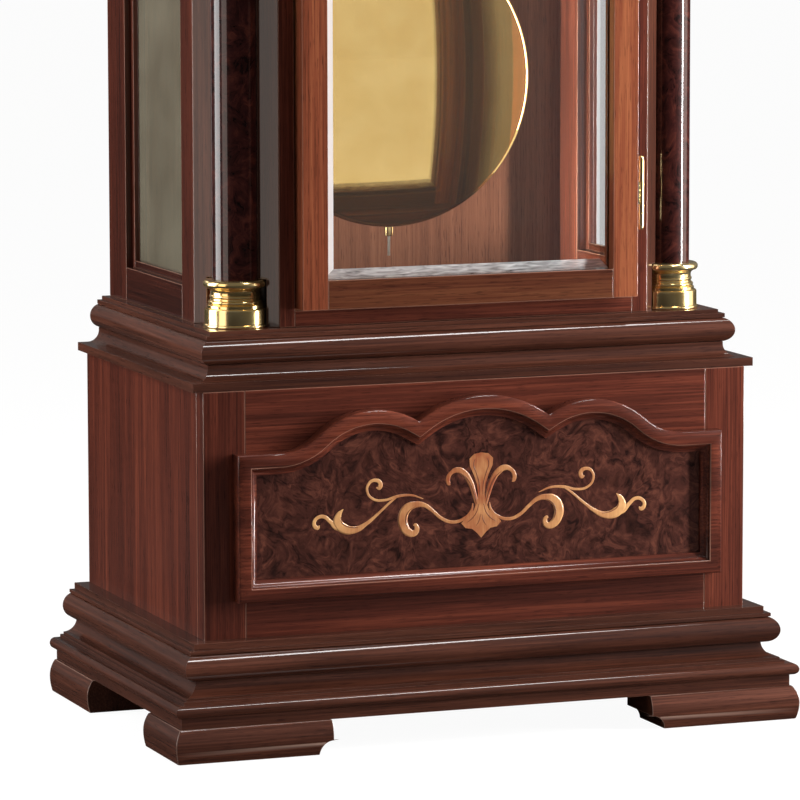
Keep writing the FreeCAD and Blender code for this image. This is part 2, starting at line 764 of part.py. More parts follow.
pair("pediment_scrolls", [prism("pediment_scroll", "XZ_Plane", [
    (-scroll_outer, zero),
    (-scroll_inner, zero),
    (-scroll_inner, scroll_rise - scroll_round * 2),
    (-scroll_inner, scroll_rise, "u", -scroll_inner, 1),
    (-scroll_turn_x, scroll_turn_z, "u", -scroll_hub_x, 1),
    (-scroll_outer, scroll_end, "u", -scroll_hollow_x, -1),
], scroll_thick, zero, pediment_y + scroll_thick, crown_z)])
block_top = crown_z + block_height
bowl_z = urn_foot_height + urn_stem
collar_z = bowl_z + urn_bowl
block_middle = pediment_y + block_side / 2
urn = turned("finial_urn", "XZ_Plane", [
    (zero, zero),
    (urn_foot, zero),
    (urn_foot, urn_foot_height),
    (urn_neck, bowl_z),
    (urn_radius, bowl_z + urn_bowl / 2, "u", zero, 1),
    (urn_neck, collar_z),
    (urn_neck + urn_tip, collar_z),
    (urn_neck + urn_tip, collar_z + urn_collar),
    (urn_neck, collar_z + urn_collar),
    (urn_tip, urn_height),
    (zero, urn_height),
], zero, block_middle, block_top)
block = slab("finial_block", (-block_side / 2, block_side / 2), (pediment_y, pediment_y + block_side),
             (crown_z, block_top))
group("finial", [block, urn])

# Movement: two plates on pillars stand on the seat board, with the dial in front
dial_setback = size("dial_setback", 77)
dial_thick = size("dial_thick", 2)
dial_half = size("dial_half", 140)
dial_arch = size("dial_arch", 110)
dial_gap = size("dial_gap", 20)
ring_thick = size("ring_thick", 1.5)
ring_outer = size("ring_outer", 128)
ring_inner = size("ring_inner", 96)
plate_thick = size("plate_thick", 3)
plate_space = size("plate_space", 54)
plate_half = size("plate_half", 70)
plate_drop = size("plate_drop", 80)
plate_rise = size("plate_rise", 95)
pillar_radius = size("pillar_radius", 4)
pillar_inset = size("pillar_inset", 10)
arbor_radius = size("arbor_radius", 1.5)
barrel_arbor = size("barrel_arbor", 3)
running_fit = size("running_fit", 0.05)
seat_thick = size("seat_thick", 20)
seat_margin = size("seat_margin", 15)
cleat_thick = size("cleat_thick", 20)
winding_hole = size("winding_hole", 6)
centre_hole = size("centre_hole", 5)
dial_z = hood_z + dial_rise
dial_y = trunk_front + dial_setback
plate_y = dial_y + dial_thick + dial_gap
gears_y = plate_y + plate_thick
rear_y = gears_y + plate_space
behind_y = rear_y + plate_thick
plates_z = (dial_z - plate_drop, dial_z + plate_rise)
suspension_z = dial_z + suspension_rise

# Tooth counts and modules of the going train and of the motion work under the dial
great_teeth = 96
centre_teeth = 64
third_teeth = 60
escape_teeth = 30
leaves = 8
cannon_teeth = 12
minute_teeth = 36
minute_leaves = 10
hour_teeth = 40
great_module = size("great_module", 0.8)
train_module = size("train_module", 0.6)
motion_module = size("motion_module", 0.7)
escape_module = size("escape_module", 1.1)
great_angle_share = 0.268
tooth_share = 0.25
tip_share = 0.1
addendum_share = 0.5
dedendum_share = 0.9
hour_module = motion_module * ((cannon_teeth + minute_teeth) / (minute_leaves + hour_teeth))
great_run = great_module * ((great_teeth + leaves) / 2)
great_turn = -great_angle_share * math.pi
barrel_x = great_run * math.cos(great_turn)
barrel_z = dial_z + great_run * math.sin(great_turn)
escape_drop = size("escape_drop", 28)
escape_z = suspension_z - escape_drop
centre_run = train_module * ((centre_teeth + leaves) / 2)
third_run = train_module * ((third_teeth + leaves) / 2)
lift = escape_z - dial_z
third_rise = (lift * lift + centre_run * centre_run - third_run * third_run) / (lift * 2)
third_x = square_root(centre_run * centre_run - third_rise * third_rise)
third_z = dial_z + third_rise
motion_run = motion_module * ((cannon_teeth + minute_teeth) / 2)


def toothed(name, module, teeth, x, z, y, turn):
    """A wheel or pinion in the plane of the train, with one tooth at the angle turn."""
    tip = module.value * (teeth / 2 + addendum_share)
    root = module.value * (teeth / 2 - dedendum_share)
    pitch = 2 * math.pi / teeth
    corners = []
    for tooth in range(teeth):
        for radius, share in ((root, -tooth_share), (tip, -tip_share), (tip, tip_share), (root, tooth_share)):
            angle = turn + (tooth + share) * pitch
            corners.append(Vector(radius * math.cos(angle), 0, radius * math.sin(angle)))
    wheel = doc.addObject("Part::Feature", name)
    face = Part.Face(Part.makePolygon(corners + corners[:1]))
    wheel.Shape = face.extrude(Vector(0, (y[1] - y[0]).value, 0))
    place(wheel, x, y[0], z)
    return wheel


def meshing(teeth, turn, toward, other_teeth):
    """Angle of a tooth on the next wheel, so that its gap meets this wheel's tooth."""
    share = (toward - turn) * teeth / (2 * math.pi) % 1
    return toward + math.pi - (0.5 - share) * 2 * math.pi / other_teeth


def bearing(x0, z0, x1, z1):
    return math.atan2(plain(z1).value - plain(z0).value, plain(x1).value - plain(x0).value)


# Layers of the train between the plates, from the front
layer = size("layer", 3)
layer_gap = size("layer_gap", 7)
escape_thick = size("escape_thick", 1.6)
great_y = (gears_y + layer_gap, gears_y + layer_gap + layer)
centre_y = (great_y[1] + layer_gap, great_y[1] + layer_gap + layer)
third_y = (centre_y[1] + layer_gap, centre_y[1] + layer_gap + layer)
escape_y = (third_y[1] + layer_gap, third_y[1] + layer_gap + escape_thick)
arbor_y = (plate_y, behind_y)
cannon_y = (plate_y - layer * 2, plate_y - layer)
hour_y = (cannon_y[0] - layer - running_fit, cannon_y[0] - running_fit)
hand_thick = size("hand_thick", 1.2)
hand_gap = size("hand_gap", 2)
hour_hand_y = (dial_y - ring_thick - hand_gap - hand_thick, dial_y - ring_thick - hand_gap)
minute_hand_y = (hour_hand_y[0] - hand_gap - hand_thick, hour_hand_y[0] - hand_gap)
pipe_wall = size("pipe_wall", 1.5)
pipe_bore = arbor_radius + running_fit
pipe_radius = pipe_bore + pipe_wall

to_barrel = bearing(zero, dial_z, barrel_x, barrel_z)
to_third = bearing(zero, dial_z, third_x, third_z)
to_escape = bearing(third_x, third_z, zero, escape_z)
straight_down = -math.pi / 2
third_turn = meshing(centre_teeth, 0, to_third, leaves)
great_phase = meshing(leaves, 0, to_barrel, great_teeth)
escape_turn = meshing(third_teeth, third_turn, to_escape, leaves)
minute_turn = meshing(cannon_teeth, 0, straight_down, minute_teeth)
hour_phase = meshing(minute_leaves, minute_turn, straight_down + math.pi, hour_teeth)

node(joined("centre_wheel", [
    dowel("centre_arbor", arbor_radius, zero, (minute_hand_y[0] - hand_gap, behind_y), dial_z),
    toothed("centre_disc", train_module, centre_teeth, zero, dial_z, centre_y, 0),
    toothed("centre_pinion", great_module, leaves, zero, dial_z, (great_y[0] - layer, great_y[1] + layer), 0),
    toothed("cannon_pinion", motion_module, cannon_teeth, zero, dial_z, cannon_y, 0),
]))
node(joined("third_wheel", [
    dowel("third_arbor", arbor_radius, third_x, arbor_y, third_z),
    toothed("third_disc", train_module, third_teeth, third_x, third_z, third_y, third_turn),
    toothed("third_pinion", train_module, leaves, third_x, third_z,
            (centre_y[0] - layer, centre_y[1] + layer), third_turn),
]))
node(joined("escape_wheel", [
    dowel("escape_arbor", arbor_radius, zero, arbor_y, escape_z),
    toothed("escape_disc", escape_module, escape_teeth, zero, escape_z, escape_y, 0),
    toothed("escape_pinion", train_module, leaves, zero, escape_z,
            (third_y[0] - layer, third_y[1] + layer), escape_turn),
]))
stud_radius = size("stud_radius", 2)
minute_z = dial_z - motion_run
minute_blank = joined("minute_wheel_blank", [
    toothed("minute_disc", motion_module, minute_teeth, zero, minute_z, cannon_y, minute_turn),
    toothed("minute_pinion", hour_module, minute_leaves, zero, minute_z,
            (hour_y[0], cannon_y[1]), minute_turn),
])
node(cut("minute_wheel", minute_blank, [dowel("minute_bore", stud_radius + running_fit, zero,
                                              (hour_y[0] - overrun, plate_y), minute_z)]))
great_blank = toothed("great_disc", great_module, great_teeth, barrel_x, barrel_z, great_y, great_phase)
node(cut("great_wheel", great_blank, [dowel("great_bore", barrel_arbor + running_fit, barrel_x,
                                            (great_y[0] - overrun, great_y[1] + overrun), barrel_z)]))

# Hands: tapered steel blades on the hour pipe and on the end of the centre arbor
hour_length = size("hour_length", 78)
minute_length = size("minute_length", 112)
hand_root = size("hand_root", 5)
hand_tip = size("hand_tip", 1)
hand_boss = size("hand_boss", 9)
hour_shown = 304
minute_shown = 48


def hand(name, length, bore, y, shown):
    """A pointer drawn at twelve and set to the hour that the dial shows."""
    blade = prism(name + "_blade", "XZ_Plane", [(-hand_root, zero), (-hand_tip, length), (hand_tip, length),
                                                (hand_root, zero)], hand_thick, zero, hand_thick)
    boss = dowel(name + "_boss", hand_boss, zero, (zero, hand_thick), zero)
    hole = dowel(name + "_hole", bore, zero, (-overrun, hand_thick + overrun), zero)
    pointer = cut(name + "_pointer", joined(name + "_blank", [blade, boss]), [hole])
    pointer.Placement = Placement(Vector(), Rotation(Vector(0, 1, 0), shown))
    place(pointer, zero, y[0], dial_z)
    return pointer


hour_disc = toothed("hour_disc", hour_module, hour_teeth, zero, dial_z, hour_y, hour_phase)
hour_pipe = dowel("hour_pipe", pipe_radius, zero, (hour_hand_y[0], hour_y[1]), dial_z)
hour_bore = dowel("hour_bore", pipe_bore, zero, (hour_hand_y[0] - overrun, hour_y[1] + overrun), dial_z)
hour_wheel = cut("hour_wheel", joined("hour_wheel_blank", [hour_disc, hour_pipe]), [hour_bore])
hour_pointer = hand("hour", hour_length, pipe_radius + running_fit, hour_hand_y, hour_shown)
group("hour_hand", [hour_wheel, hour_pointer])
group("minute_hand", [hand("minute", minute_length, arbor_radius + running_fit, minute_hand_y, minute_shown)])

# Plates, pillars and dial
holes = {
    "centre": (arbor_radius, zero, dial_z),
    "third": (arbor_radius, third_x, third_z),
    "escape": (arbor_radius, zero, escape_z),
    "anchor": (arbor_radius, zero, suspension_z),
    "going": (barrel_arbor, barrel_x, barrel_z),
    "strike": (barrel_arbor, -barrel_x, barrel_z),
}
plates = []
for name, start in (("front_plate", plate_y), ("rear_plate", rear_y)):
    blank = slab(name + "_blank", (-plate_half, plate_half), (start, start + plate_thick), plates_z)
    bores = [dowel(f"{name}_{hole}_hole", radius + running_fit, x,
                   (start - overrun, start + plate_thick + overrun), z)
             for hole, (radius, x, z) in holes.items()]
    plates.append(cut(name, blank, bores))
group("movement_plates", plates)
pillars = []
levels = (plates_z[0] + pillar_inset, plates_z[1] - pillar_inset)
corners = [(side, level) for side in (-1, 1) for level in levels]
for number, (side, level) in enumerate(corners):
    across = (plate_half - pillar_inset) * side
    pillars.append(dowel(f"plate_pillar_{number}", pillar_radius, across, (gears_y, rear_y), level))
    pillars.append(dowel(f"dial_pillar_{number}", pillar_radius, across,
                         (dial_y + dial_thick, plate_y), level))
pillars.append(dowel("minute_stud", stud_radius, zero, (hour_y[0], plate_y), minute_z))
group("movement_pillars", pillars)
dial_blank = prism("dial_blank", "XZ_Plane", [
    (-dial_half, -dial_half),
    (dial_half, -dial_half),
    (dial_half, dial_half),
    (dial_arch, dial_half),
    (-dial_arch, dial_half, "v", dial_half, 1),
    (-dial_half, dial_half),
], dial_thick, zero, dial_y + dial_thick, dial_z)
dial_span = (dial_y - overrun, dial_y + dial_thick + overrun)
node(cut("dial_plate", dial_blank, [
    dowel("dial_centre_hole", centre_hole, zero, dial_span, dial_z),
    dowel("dial_going_hole", winding_hole, barrel_x, dial_span, barrel_z),
    dowel("dial_strike_hole", winding_hole, -barrel_x, dial_span, barrel_z),
]))
ring_y = (dial_y - ring_thick, dial_y)
node(cut("chapter_ring", dowel("ring_blank", ring_outer, zero, ring_y, dial_z),
         [dowel("ring_hole", ring_inner, zero, (ring_y[0] - overrun, ring_y[1] + overrun), dial_z)]))

# Barrels with their winding squares, weights and lines; the lines pass through slots in the seat board
barrel_radius = size("barrel_radius", 15)
line_radius = size("line_radius", 0.9)
line_gap = size("line_gap", 0.3)
slot_half = size("slot_half", 6)
weight_radius = size("weight_radius", 28)
weight_height = size("weight_height", 190)
weight_drop = size("weight_drop", 40)
weight_cap = size("weight_cap", 6)
hook_radius = size("hook_radius", 4)
hook_height = size("hook_height", 20)
barrel_y = (great_y[1] + layer_gap, rear_y - layer)
line_x = barrel_x + barrel_radius + line_radius + line_gap
line_y = (barrel_y[0] + barrel_y[1]) / 2
weight_z = string_z - weight_drop
seat_y = (plate_y - seat_margin, behind_y + layer)
seat_blank = slab("seat_blank", (-inner_half, inner_half), seat_y, (plates_z[0] - seat_thick, plates_z[0]))
slots = []
for name, side in (("strike", -1), ("going", 1)):
    middle = line_x * side
    slots.append(slab(name + "_slot", (middle - slot_half, middle + slot_half),
                      (line_y - slot_half, line_y + slot_half),
                      (plates_z[0] - seat_thick - overrun, plates_z[0] + overrun)))
    node(joined(name + "_barrel", [
        dowel(name + "_barrel_arbor", barrel_arbor, barrel_x * side,
              (dial_y + dial_thick + layer, behind_y), barrel_z),
        dowel(name + "_drum", barrel_radius, barrel_x * side, barrel_y, barrel_z),
    ]))
    node(turned(name + "_weight", "XZ_Plane", [
        (zero, zero),
        (hook_radius, zero),
        (hook_radius, -hook_height),
        (weight_radius - weight_cap, -hook_height),
        (weight_radius, -hook_height - weight_cap, "u", weight_radius - weight_cap, -1),
        (weight_radius, weight_cap - hook_height - weight_height),
        (weight_radius - weight_cap, -hook_height - weight_height, "u", weight_radius - weight_cap, -1),
        (zero, -hook_height - weight_height),
    ], middle, line_y, weight_z))
    node(dowel(name + "_line", line_radius, middle, line_y, (weight_z, barrel_z)))
cleat = slab("seat_cleat", (-inner_half, cleat_thick - inner_half), seat_y,
             (plates_z[0] - seat_thick - cleat_thick, plates_z[0] - seat_thick))
group("seat_board", [cut("seat", seat_blank, slots), cleat, mirrored(cleat, "seat_cleat_right")])

# Anchor with its crutch, and the pendulum that hangs from the cock behind the rear plate
bob_setback = size("bob_setback", 180.6)
bob_dome = size("bob_dome", 13)
bob_rim = size("bob_rim", 4)
rod_half = size("rod_half", 5)
rod_thick = size("rod_thick", 4)
thread_radius = size("thread_radius", 1.2)
nut_radius = size("nut_radius", 4.2)
nut_height = size("nut_height", 8)
nut_gap = size("nut_gap", 0.3)
pallet_half = size("pallet_half", 2)
pallet_clear = size("pallet_clear", 1.8)
anchor_thick = size("anchor_thick", 4)
crutch_length = size("crutch_length", 60)
fork_gap = size("fork_gap", 0.3)
fork_thick = size("fork_thick", 2.5)
cock_half = size("cock_half", 14)
cock_height = size("cock_height", 12)
cock_gap = size("cock_gap", 0.5)
bob_y = trunk_front + bob_setback
bob_z = suspension_z - pendulum_length
rod_y = (bob_y + bob_rim, bob_y + bob_rim + rod_thick)
rod_middle = (rod_y[0] + rod_y[1]) / 2
thread_z = bob_z - bob_radius
node(joined("pendulum_rod", [
    slab("rod_strip", (-rod_half, rod_half), rod_y, (thread_z, suspension_z + arbor_radius)),
    dowel("rod_thread", thread_radius, zero, rod_middle, (thread_z - thread_length, thread_z)),
]))
node(turned("pendulum_bob", "XY_Plane", [
    (zero, -bob_dome),
    (bob_radius - bob_rim, -bob_rim, "u", zero, 1),
    (bob_radius, -bob_rim),
    (bob_radius, bob_rim),
    (zero, bob_rim),
], zero, bob_y, bob_z))
nut_z = (thread_z - nut_gap - nut_height, thread_z - nut_gap)
nut_bore = dowel("nut_bore", thread_radius + running_fit, zero, rod_middle,
                 (nut_z[0] - overrun, nut_z[1] + overrun))
node(cut("rating_nut", dowel("nut_blank", nut_radius, zero, rod_middle, nut_z), [nut_bore]))
tip_reach = escape_module * (escape_teeth / 2 + addendum_share) + pallet_clear
pallet_x = tip_reach / square_root(plain(2))
pallet_z = escape_z + pallet_x
arch_z = escape_z + tip_reach
anchor_y = (escape_y[0] - pipe_wall, escape_y[1] + pipe_wall)
anchor = prism("anchor_blade", "XZ_Plane", [
    (-pallet_x - pallet_half * 2, pallet_z),
    (-pallet_x, pallet_z),
    (-pallet_x, arch_z),
    (pallet_x, arch_z),
    (pallet_x, pallet_z),
    (pallet_x + pallet_half * 2, pallet_z),
    (pallet_x + pallet_half * 2, arch_z),
    (anchor_thick, suspension_z + anchor_thick),
    (-anchor_thick, suspension_z + anchor_thick),
    (-pallet_x - pallet_half * 2, arch_z),
], anchor_y[1] - anchor_y[0], zero, anchor_y[1])
crutch_y = (behind_y + layer, behind_y + layer * 2)
fork_z = suspension_z - crutch_length
fork_half = rod_half + fork_gap + fork_thick
fork_deep = (crutch_y[0], rod_y[1])
fork_tall = (fork_z - anchor_thick, fork_z)
node(joined("pallet_anchor", [
    anchor,
    dowel("anchor_arbor", arbor_radius, zero, (plate_y, crutch_y[1]), suspension_z),
    slab("crutch", (-anchor_thick / 2, anchor_thick / 2), crutch_y, (fork_z, suspension_z)),
    slab("fork_bar", (-fork_half, fork_half), crutch_y, fork_tall),
    slab("fork_left", (-fork_half, fork_thick - fork_half), fork_deep, fork_tall),
    slab("fork_right", (fork_half - fork_thick, fork_half), fork_deep, fork_tall),
]))
cock_z = suspension_z + arbor_radius + cock_gap
node(slab("suspension_cock", (-cock_half, cock_half), (behind_y, rod_y[1] + layer),
          (cock_z, cock_z + cock_height)))

doc.recompute()
for thing in doc.Objects:
    if {"Invalid", "Error"} & set(thing.State):
        raise RuntimeError(f"{thing.Label} failed: {thing.State}")
for piece in nodes:
    if piece.Shape.isNull() or not piece.Shape.isValid() or not piece.Shape.Solids:
        raise RuntimeError(f"{piece.Label} has no valid shape")

os.makedirs("parts", exist_ok=True)
for piece in nodes:
    piece.Shape.exportStep(f"parts/{piece.Label}.step")
print(len(nodes), "sub-parts written")
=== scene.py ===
import bmesh
import bpy
import json
import math
from mathutils import Matrix, Vector

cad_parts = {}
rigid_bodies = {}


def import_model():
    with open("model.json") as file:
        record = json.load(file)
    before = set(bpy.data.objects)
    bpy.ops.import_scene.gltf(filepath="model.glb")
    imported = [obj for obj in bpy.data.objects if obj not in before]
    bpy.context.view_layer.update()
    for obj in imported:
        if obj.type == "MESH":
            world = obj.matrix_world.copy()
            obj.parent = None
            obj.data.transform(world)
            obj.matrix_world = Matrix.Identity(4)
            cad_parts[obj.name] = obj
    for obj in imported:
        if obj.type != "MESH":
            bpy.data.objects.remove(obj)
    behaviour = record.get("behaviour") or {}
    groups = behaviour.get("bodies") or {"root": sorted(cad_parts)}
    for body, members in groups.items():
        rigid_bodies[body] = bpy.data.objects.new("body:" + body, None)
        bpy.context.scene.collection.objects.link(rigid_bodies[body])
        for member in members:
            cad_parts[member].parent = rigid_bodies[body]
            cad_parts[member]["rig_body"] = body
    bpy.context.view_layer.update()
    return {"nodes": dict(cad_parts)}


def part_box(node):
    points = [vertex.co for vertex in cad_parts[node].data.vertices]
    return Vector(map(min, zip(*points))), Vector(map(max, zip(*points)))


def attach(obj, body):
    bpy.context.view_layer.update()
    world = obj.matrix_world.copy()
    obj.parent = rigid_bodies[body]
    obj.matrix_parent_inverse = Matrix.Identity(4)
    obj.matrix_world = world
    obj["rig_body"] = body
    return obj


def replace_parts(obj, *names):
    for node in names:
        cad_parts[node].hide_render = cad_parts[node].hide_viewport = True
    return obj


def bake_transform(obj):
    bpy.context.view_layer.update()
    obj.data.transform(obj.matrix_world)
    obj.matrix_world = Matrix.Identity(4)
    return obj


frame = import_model()

# Feet, plinth and base box. Mahogany boards and mitred mouldings, glued up, stained dark red and
# sprayed with clear lacquer that was polished to a gloss. Every stick has its own grain and eased edges.


def linear(code):
    """An sRGB hex colour as the linear values that shaders take."""
    parts = [int(code[at:at + 2], 16) / 255 for at in (1, 3, 5)]
    return (*[part / 12.92 if part <= 0.04045 else ((part + 0.055) / 1.055) ** 2.4 for part in parts], 1)


def add(tree, kind, inputs=None, stops=None, **settings):
    """One shader node with its settings; inputs are plain values or the sockets that feed them."""
    node = tree.nodes.new("ShaderNode" + kind)
    for name, value in settings.items():
        setattr(node, name, value)
    for name, value in (inputs or {}).items():
        if isinstance(value, bpy.types.NodeSocket):
            tree.links.new(value, node.inputs[name])
        else:
            node.inputs[name].default_value = value
    if stops:
        while len(node.color_ramp.elements) < len(stops):
            node.color_ramp.elements.new(0.5)
        for element, (place, colour) in zip(node.color_ramp.elements, stops):
            element.position = place
            element.color = colour
    return node


def new_finish(name):
    """A material with its node tree and its main shader."""
    finish = bpy.data.materials.new(name)
    finish.use_nodes = True
    return finish, finish.node_tree, finish.node_tree.nodes["Principled BSDF"]


def mahogany(name, dark, middle, light, edge, lacquer):
    """Lacquered mahogany: soft ribbons, fine streaks and dark pores along the grain, and a paler painted
    highlight along the eased edges.
    """
    finish, tree, shader = new_finish(name)
    # Length and width in millimetres, and waviness; the pores are drawn wide enough to show
    layer_sizes = (("ribbon", 640, 30, 0.8), ("streak", 110, 1.8, 0.3), ("pore", 16, 0.9, 0))
    streak_share, pore_share, edge_highlight_share = 0.5, 0.8, 0.45
    pore_deep = 0.0004
    grain = add(tree, "Attribute", attribute_name="grain").outputs["Vector"]
    edge_highlight_mask = add(tree, "Attribute", attribute_name="arris").outputs["Fac"]
    tone = add(tree, "Attribute", attribute_name="tone").outputs["Fac"]
    layers = {}
    for layer, long_mm, wide_mm, waviness in layer_sizes:
        repeats = (1000 / long_mm, 1000 / wide_mm, 1000 / wide_mm)
        stretch = add(tree, "VectorMath", {0: grain, 1: repeats}, operation="MULTIPLY")
        layers[layer] = add(tree, "TexNoise", {"Vector": stretch.outputs[0], "Scale": 1, "Detail": 3,
                                               "Distortion": waviness}).outputs[0]
    figure = add(tree, "Mix", {0: streak_share, 2: layers["ribbon"], 3: layers["streak"]}).outputs[0]
    colour = add(tree, "ValToRGB", {0: figure}, stops=[(0.32, linear(dark)), (0.5, linear(middle)),
                                                      (0.7, linear(light))]).outputs[0]
    pores = add(tree, "ValToRGB", {0: layers["pore"]}, stops=[(0.33, linear("#b3aaaa")),
                                                             (0.42, linear("#ffffff"))]).outputs[0]
    stained = add(tree, "Mix", {0: pore_share, 6: colour, 7: pores}, data_type="RGBA", blend_type="MULTIPLY")
    toned = add(tree, "VectorMath", {0: stained.outputs[2], "Scale": tone}, operation="SCALE").outputs[0]
    # Painted highlight: the edge colour is mixed in along the crests of the eased edges, where lamps would
    # catch them
    edge_highlight_amount = add(tree, "Math", {0: edge_highlight_mask, 1: edge_highlight_share}, operation="MULTIPLY").outputs[0]
    with_edge_highlight = add(tree, "Mix", {0: edge_highlight_amount, 6: toned, 7: linear(edge)}, data_type="RGBA").outputs[2]
    tree.links.new(with_edge_highlight, shader.inputs["Base Color"])
    dull = add(tree, "MapRange", {0: layers["streak"], 3: 0.44, 4: 0.6}).outputs[0]
    tree.links.new(dull, shader.inputs["Roughness"])
    relief = add(tree, "Bump", {"Strength": 0.06, "Distance": pore_deep, "Height": layers["pore"]}).outputs[0]
    tree.links.new(relief, shader.inputs["Normal"])
    shader.inputs["Specular IOR Level"].default_value = 0.06
    shader.inputs["Coat Weight"].default_value = lacquer
    shader.inputs["Coat Roughness"].default_value = 0.07
    return finish


def only(piece):
    """Leaves one object selected and active."""
    bpy.ops.object.select_all(action="DESELECT")
    piece.select_set(True)
    bpy.context.view_layer.objects.active = piece


def joined(pieces, name):
    """Like pieces as one object with one name."""
    only(pieces[0])
    for piece in pieces:
        piece.select_set(True)
    if len(pieces) > 1:
        bpy.ops.object.join()
    pieces[0].name = name
    return pieces[0]


def solids_of(node):
    """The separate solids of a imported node: each run of its triangles that closes on itself."""
    mesh = frame["nodes"][node].data
    run, loose = [], set()
    for face in mesh.polygons:
        corners = [tuple(round(part, 6) for part in mesh.vertices[at].co) for at in face.vertices]
        if len(set(corners)) == 3:
            run.append(corners)
            loose ^= {tuple(sorted(edge)) for edge in zip(corners, corners[1:] + corners[:1])}
        if run and not loose:
            yield run
            run = []


def set_grain(piece, along, number, tones=(1, 1)):
    """Gives one stick its grain, along its longest side unless told, its own figure, and a tone factor for
    uprights and another for rails.
    """
    shift_along, shift_across = number * 1.37, number * 0.31
    upright_tone, rail_tone = tones
    corners = [corner.co for corner in piece.data.vertices]
    spans = [max(places) - min(places) for places in zip(*corners)]
    first = "XYZ".index(along) if along else spans.index(max(spans))
    second, third = [axis for axis in range(3) if axis != first]
    grain = piece.data.attributes.new("grain", "FLOAT_VECTOR", "POINT")
    for corner, spot in zip(corners, grain.data):
        spot.vector = (corner[first] + shift_along, corner[second] + shift_across, corner[third])
    stain = piece.data.attributes.new("tone", "FLOAT", "POINT")
    for spot in stain.data:
        spot.value = upright_tone if first == 2 else rail_tone


def set_arris(piece):
    """Marks the crests of the eased outer edges, where a paler painted highlight is laid on."""
    sharp, narrow = math.radians(30), 0.0012
    edge_highlight_mask = piece.data.attributes.new("arris", "FLOAT", "POINT")
    shape = bmesh.new()
    shape.from_mesh(piece.data)
    for edge in shape.edges:
        if not edge.is_manifold or edge.calc_face_angle_signed(0) < sharp:
            continue
        if all(face.calc_area() < narrow * edge.calc_length() for face in edge.link_faces):
            for corner in edge.verts:
                edge_highlight_mask.data[corner.index].value = 1
    shape.free()


def smooth(piece, degrees):
    """Shades rounds smooth and keeps broad faces flat right up to their eased edges."""
    only(piece)
    bpy.ops.object.shade_smooth_by_angle(angle=math.radians(degrees))
    flat = piece.modifiers.new("flat_faces", "WEIGHTED_NORMAL")
    flat.weight = 100
    flat.keep_sharp = True
    bpy.ops.object.modifier_apply(modifier=flat.name)


def dressed(node, finish, along=None, edge=0.0008, tones=(1, 1)):
    """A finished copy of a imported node: eased edges, smooth rounds, and each stick's own grain and stain."""
    one_plane, sharp, round_degrees = math.radians(0.2), math.radians(38), 30
    sticks = []
    for number, run in enumerate(solids_of(node)):
        spots = {}
        faces = [[spots.setdefault(corner, len(spots)) for corner in corners] for corners in run]
        mesh = bpy.data.meshes.new(node)
        mesh.from_pydata(list(spots), [], faces)
        stick = bpy.data.objects.new("finished_" + node, mesh)
        bpy.context.collection.objects.link(stick)
        only(stick)
        bpy.ops.object.mode_set(mode="EDIT")
        bpy.ops.mesh.select_all(action="SELECT")
        bpy.ops.mesh.dissolve_limited(angle_limit=one_plane)
        bpy.ops.object.mode_set(mode="OBJECT")
        eased = stick.modifiers.new("eased_edges", "BEVEL")
        eased.width = edge
        eased.segments = 2
        eased.limit_method = "ANGLE"
        eased.angle_limit = sharp
        bpy.ops.object.modifier_apply(modifier=eased.name)
        set_grain(stick, along, number + len(node), tones)
        set_arris(stick)
        sticks.append(stick)
    piece = joined(sticks, "finished_" + node)
    smooth(piece, round_degrees)
    piece.data.materials.append(finish)
    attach(piece, frame["nodes"][node]["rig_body"])
    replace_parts(piece, node)
    return piece


# Deep red-brown boards with a soft gloss and browner mouldings, both with a paler painted highlight along their
# eased edges
case_wood = mahogany("lacquered_mahogany", "#34140c", "#532418", "#783a27", "#b58670", lacquer=0.75)
moulding_wood = mahogany("brown_mahogany", "#2c1610", "#472519", "#64392a", "#c0a090", lacquer=0.75)
for node in ("bracket_feet", "plinth_moulding"):
    dressed(node, moulding_wood)
for node in ("base_front_stiles", "base_front_board"):
    dressed(node, case_wood)
dressed("base_sides", case_wood, "Z")
dressed("case_floors", case_wood, "X")

# Base panel: an applied mahogany moulding, rounded on its face and bent over three lobes, planted on the
# front. Inside it lies a sheet of walnut burl veneer, glued to a thin board and lacquered.
moulding_low, moulding_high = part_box("panel_moulding")


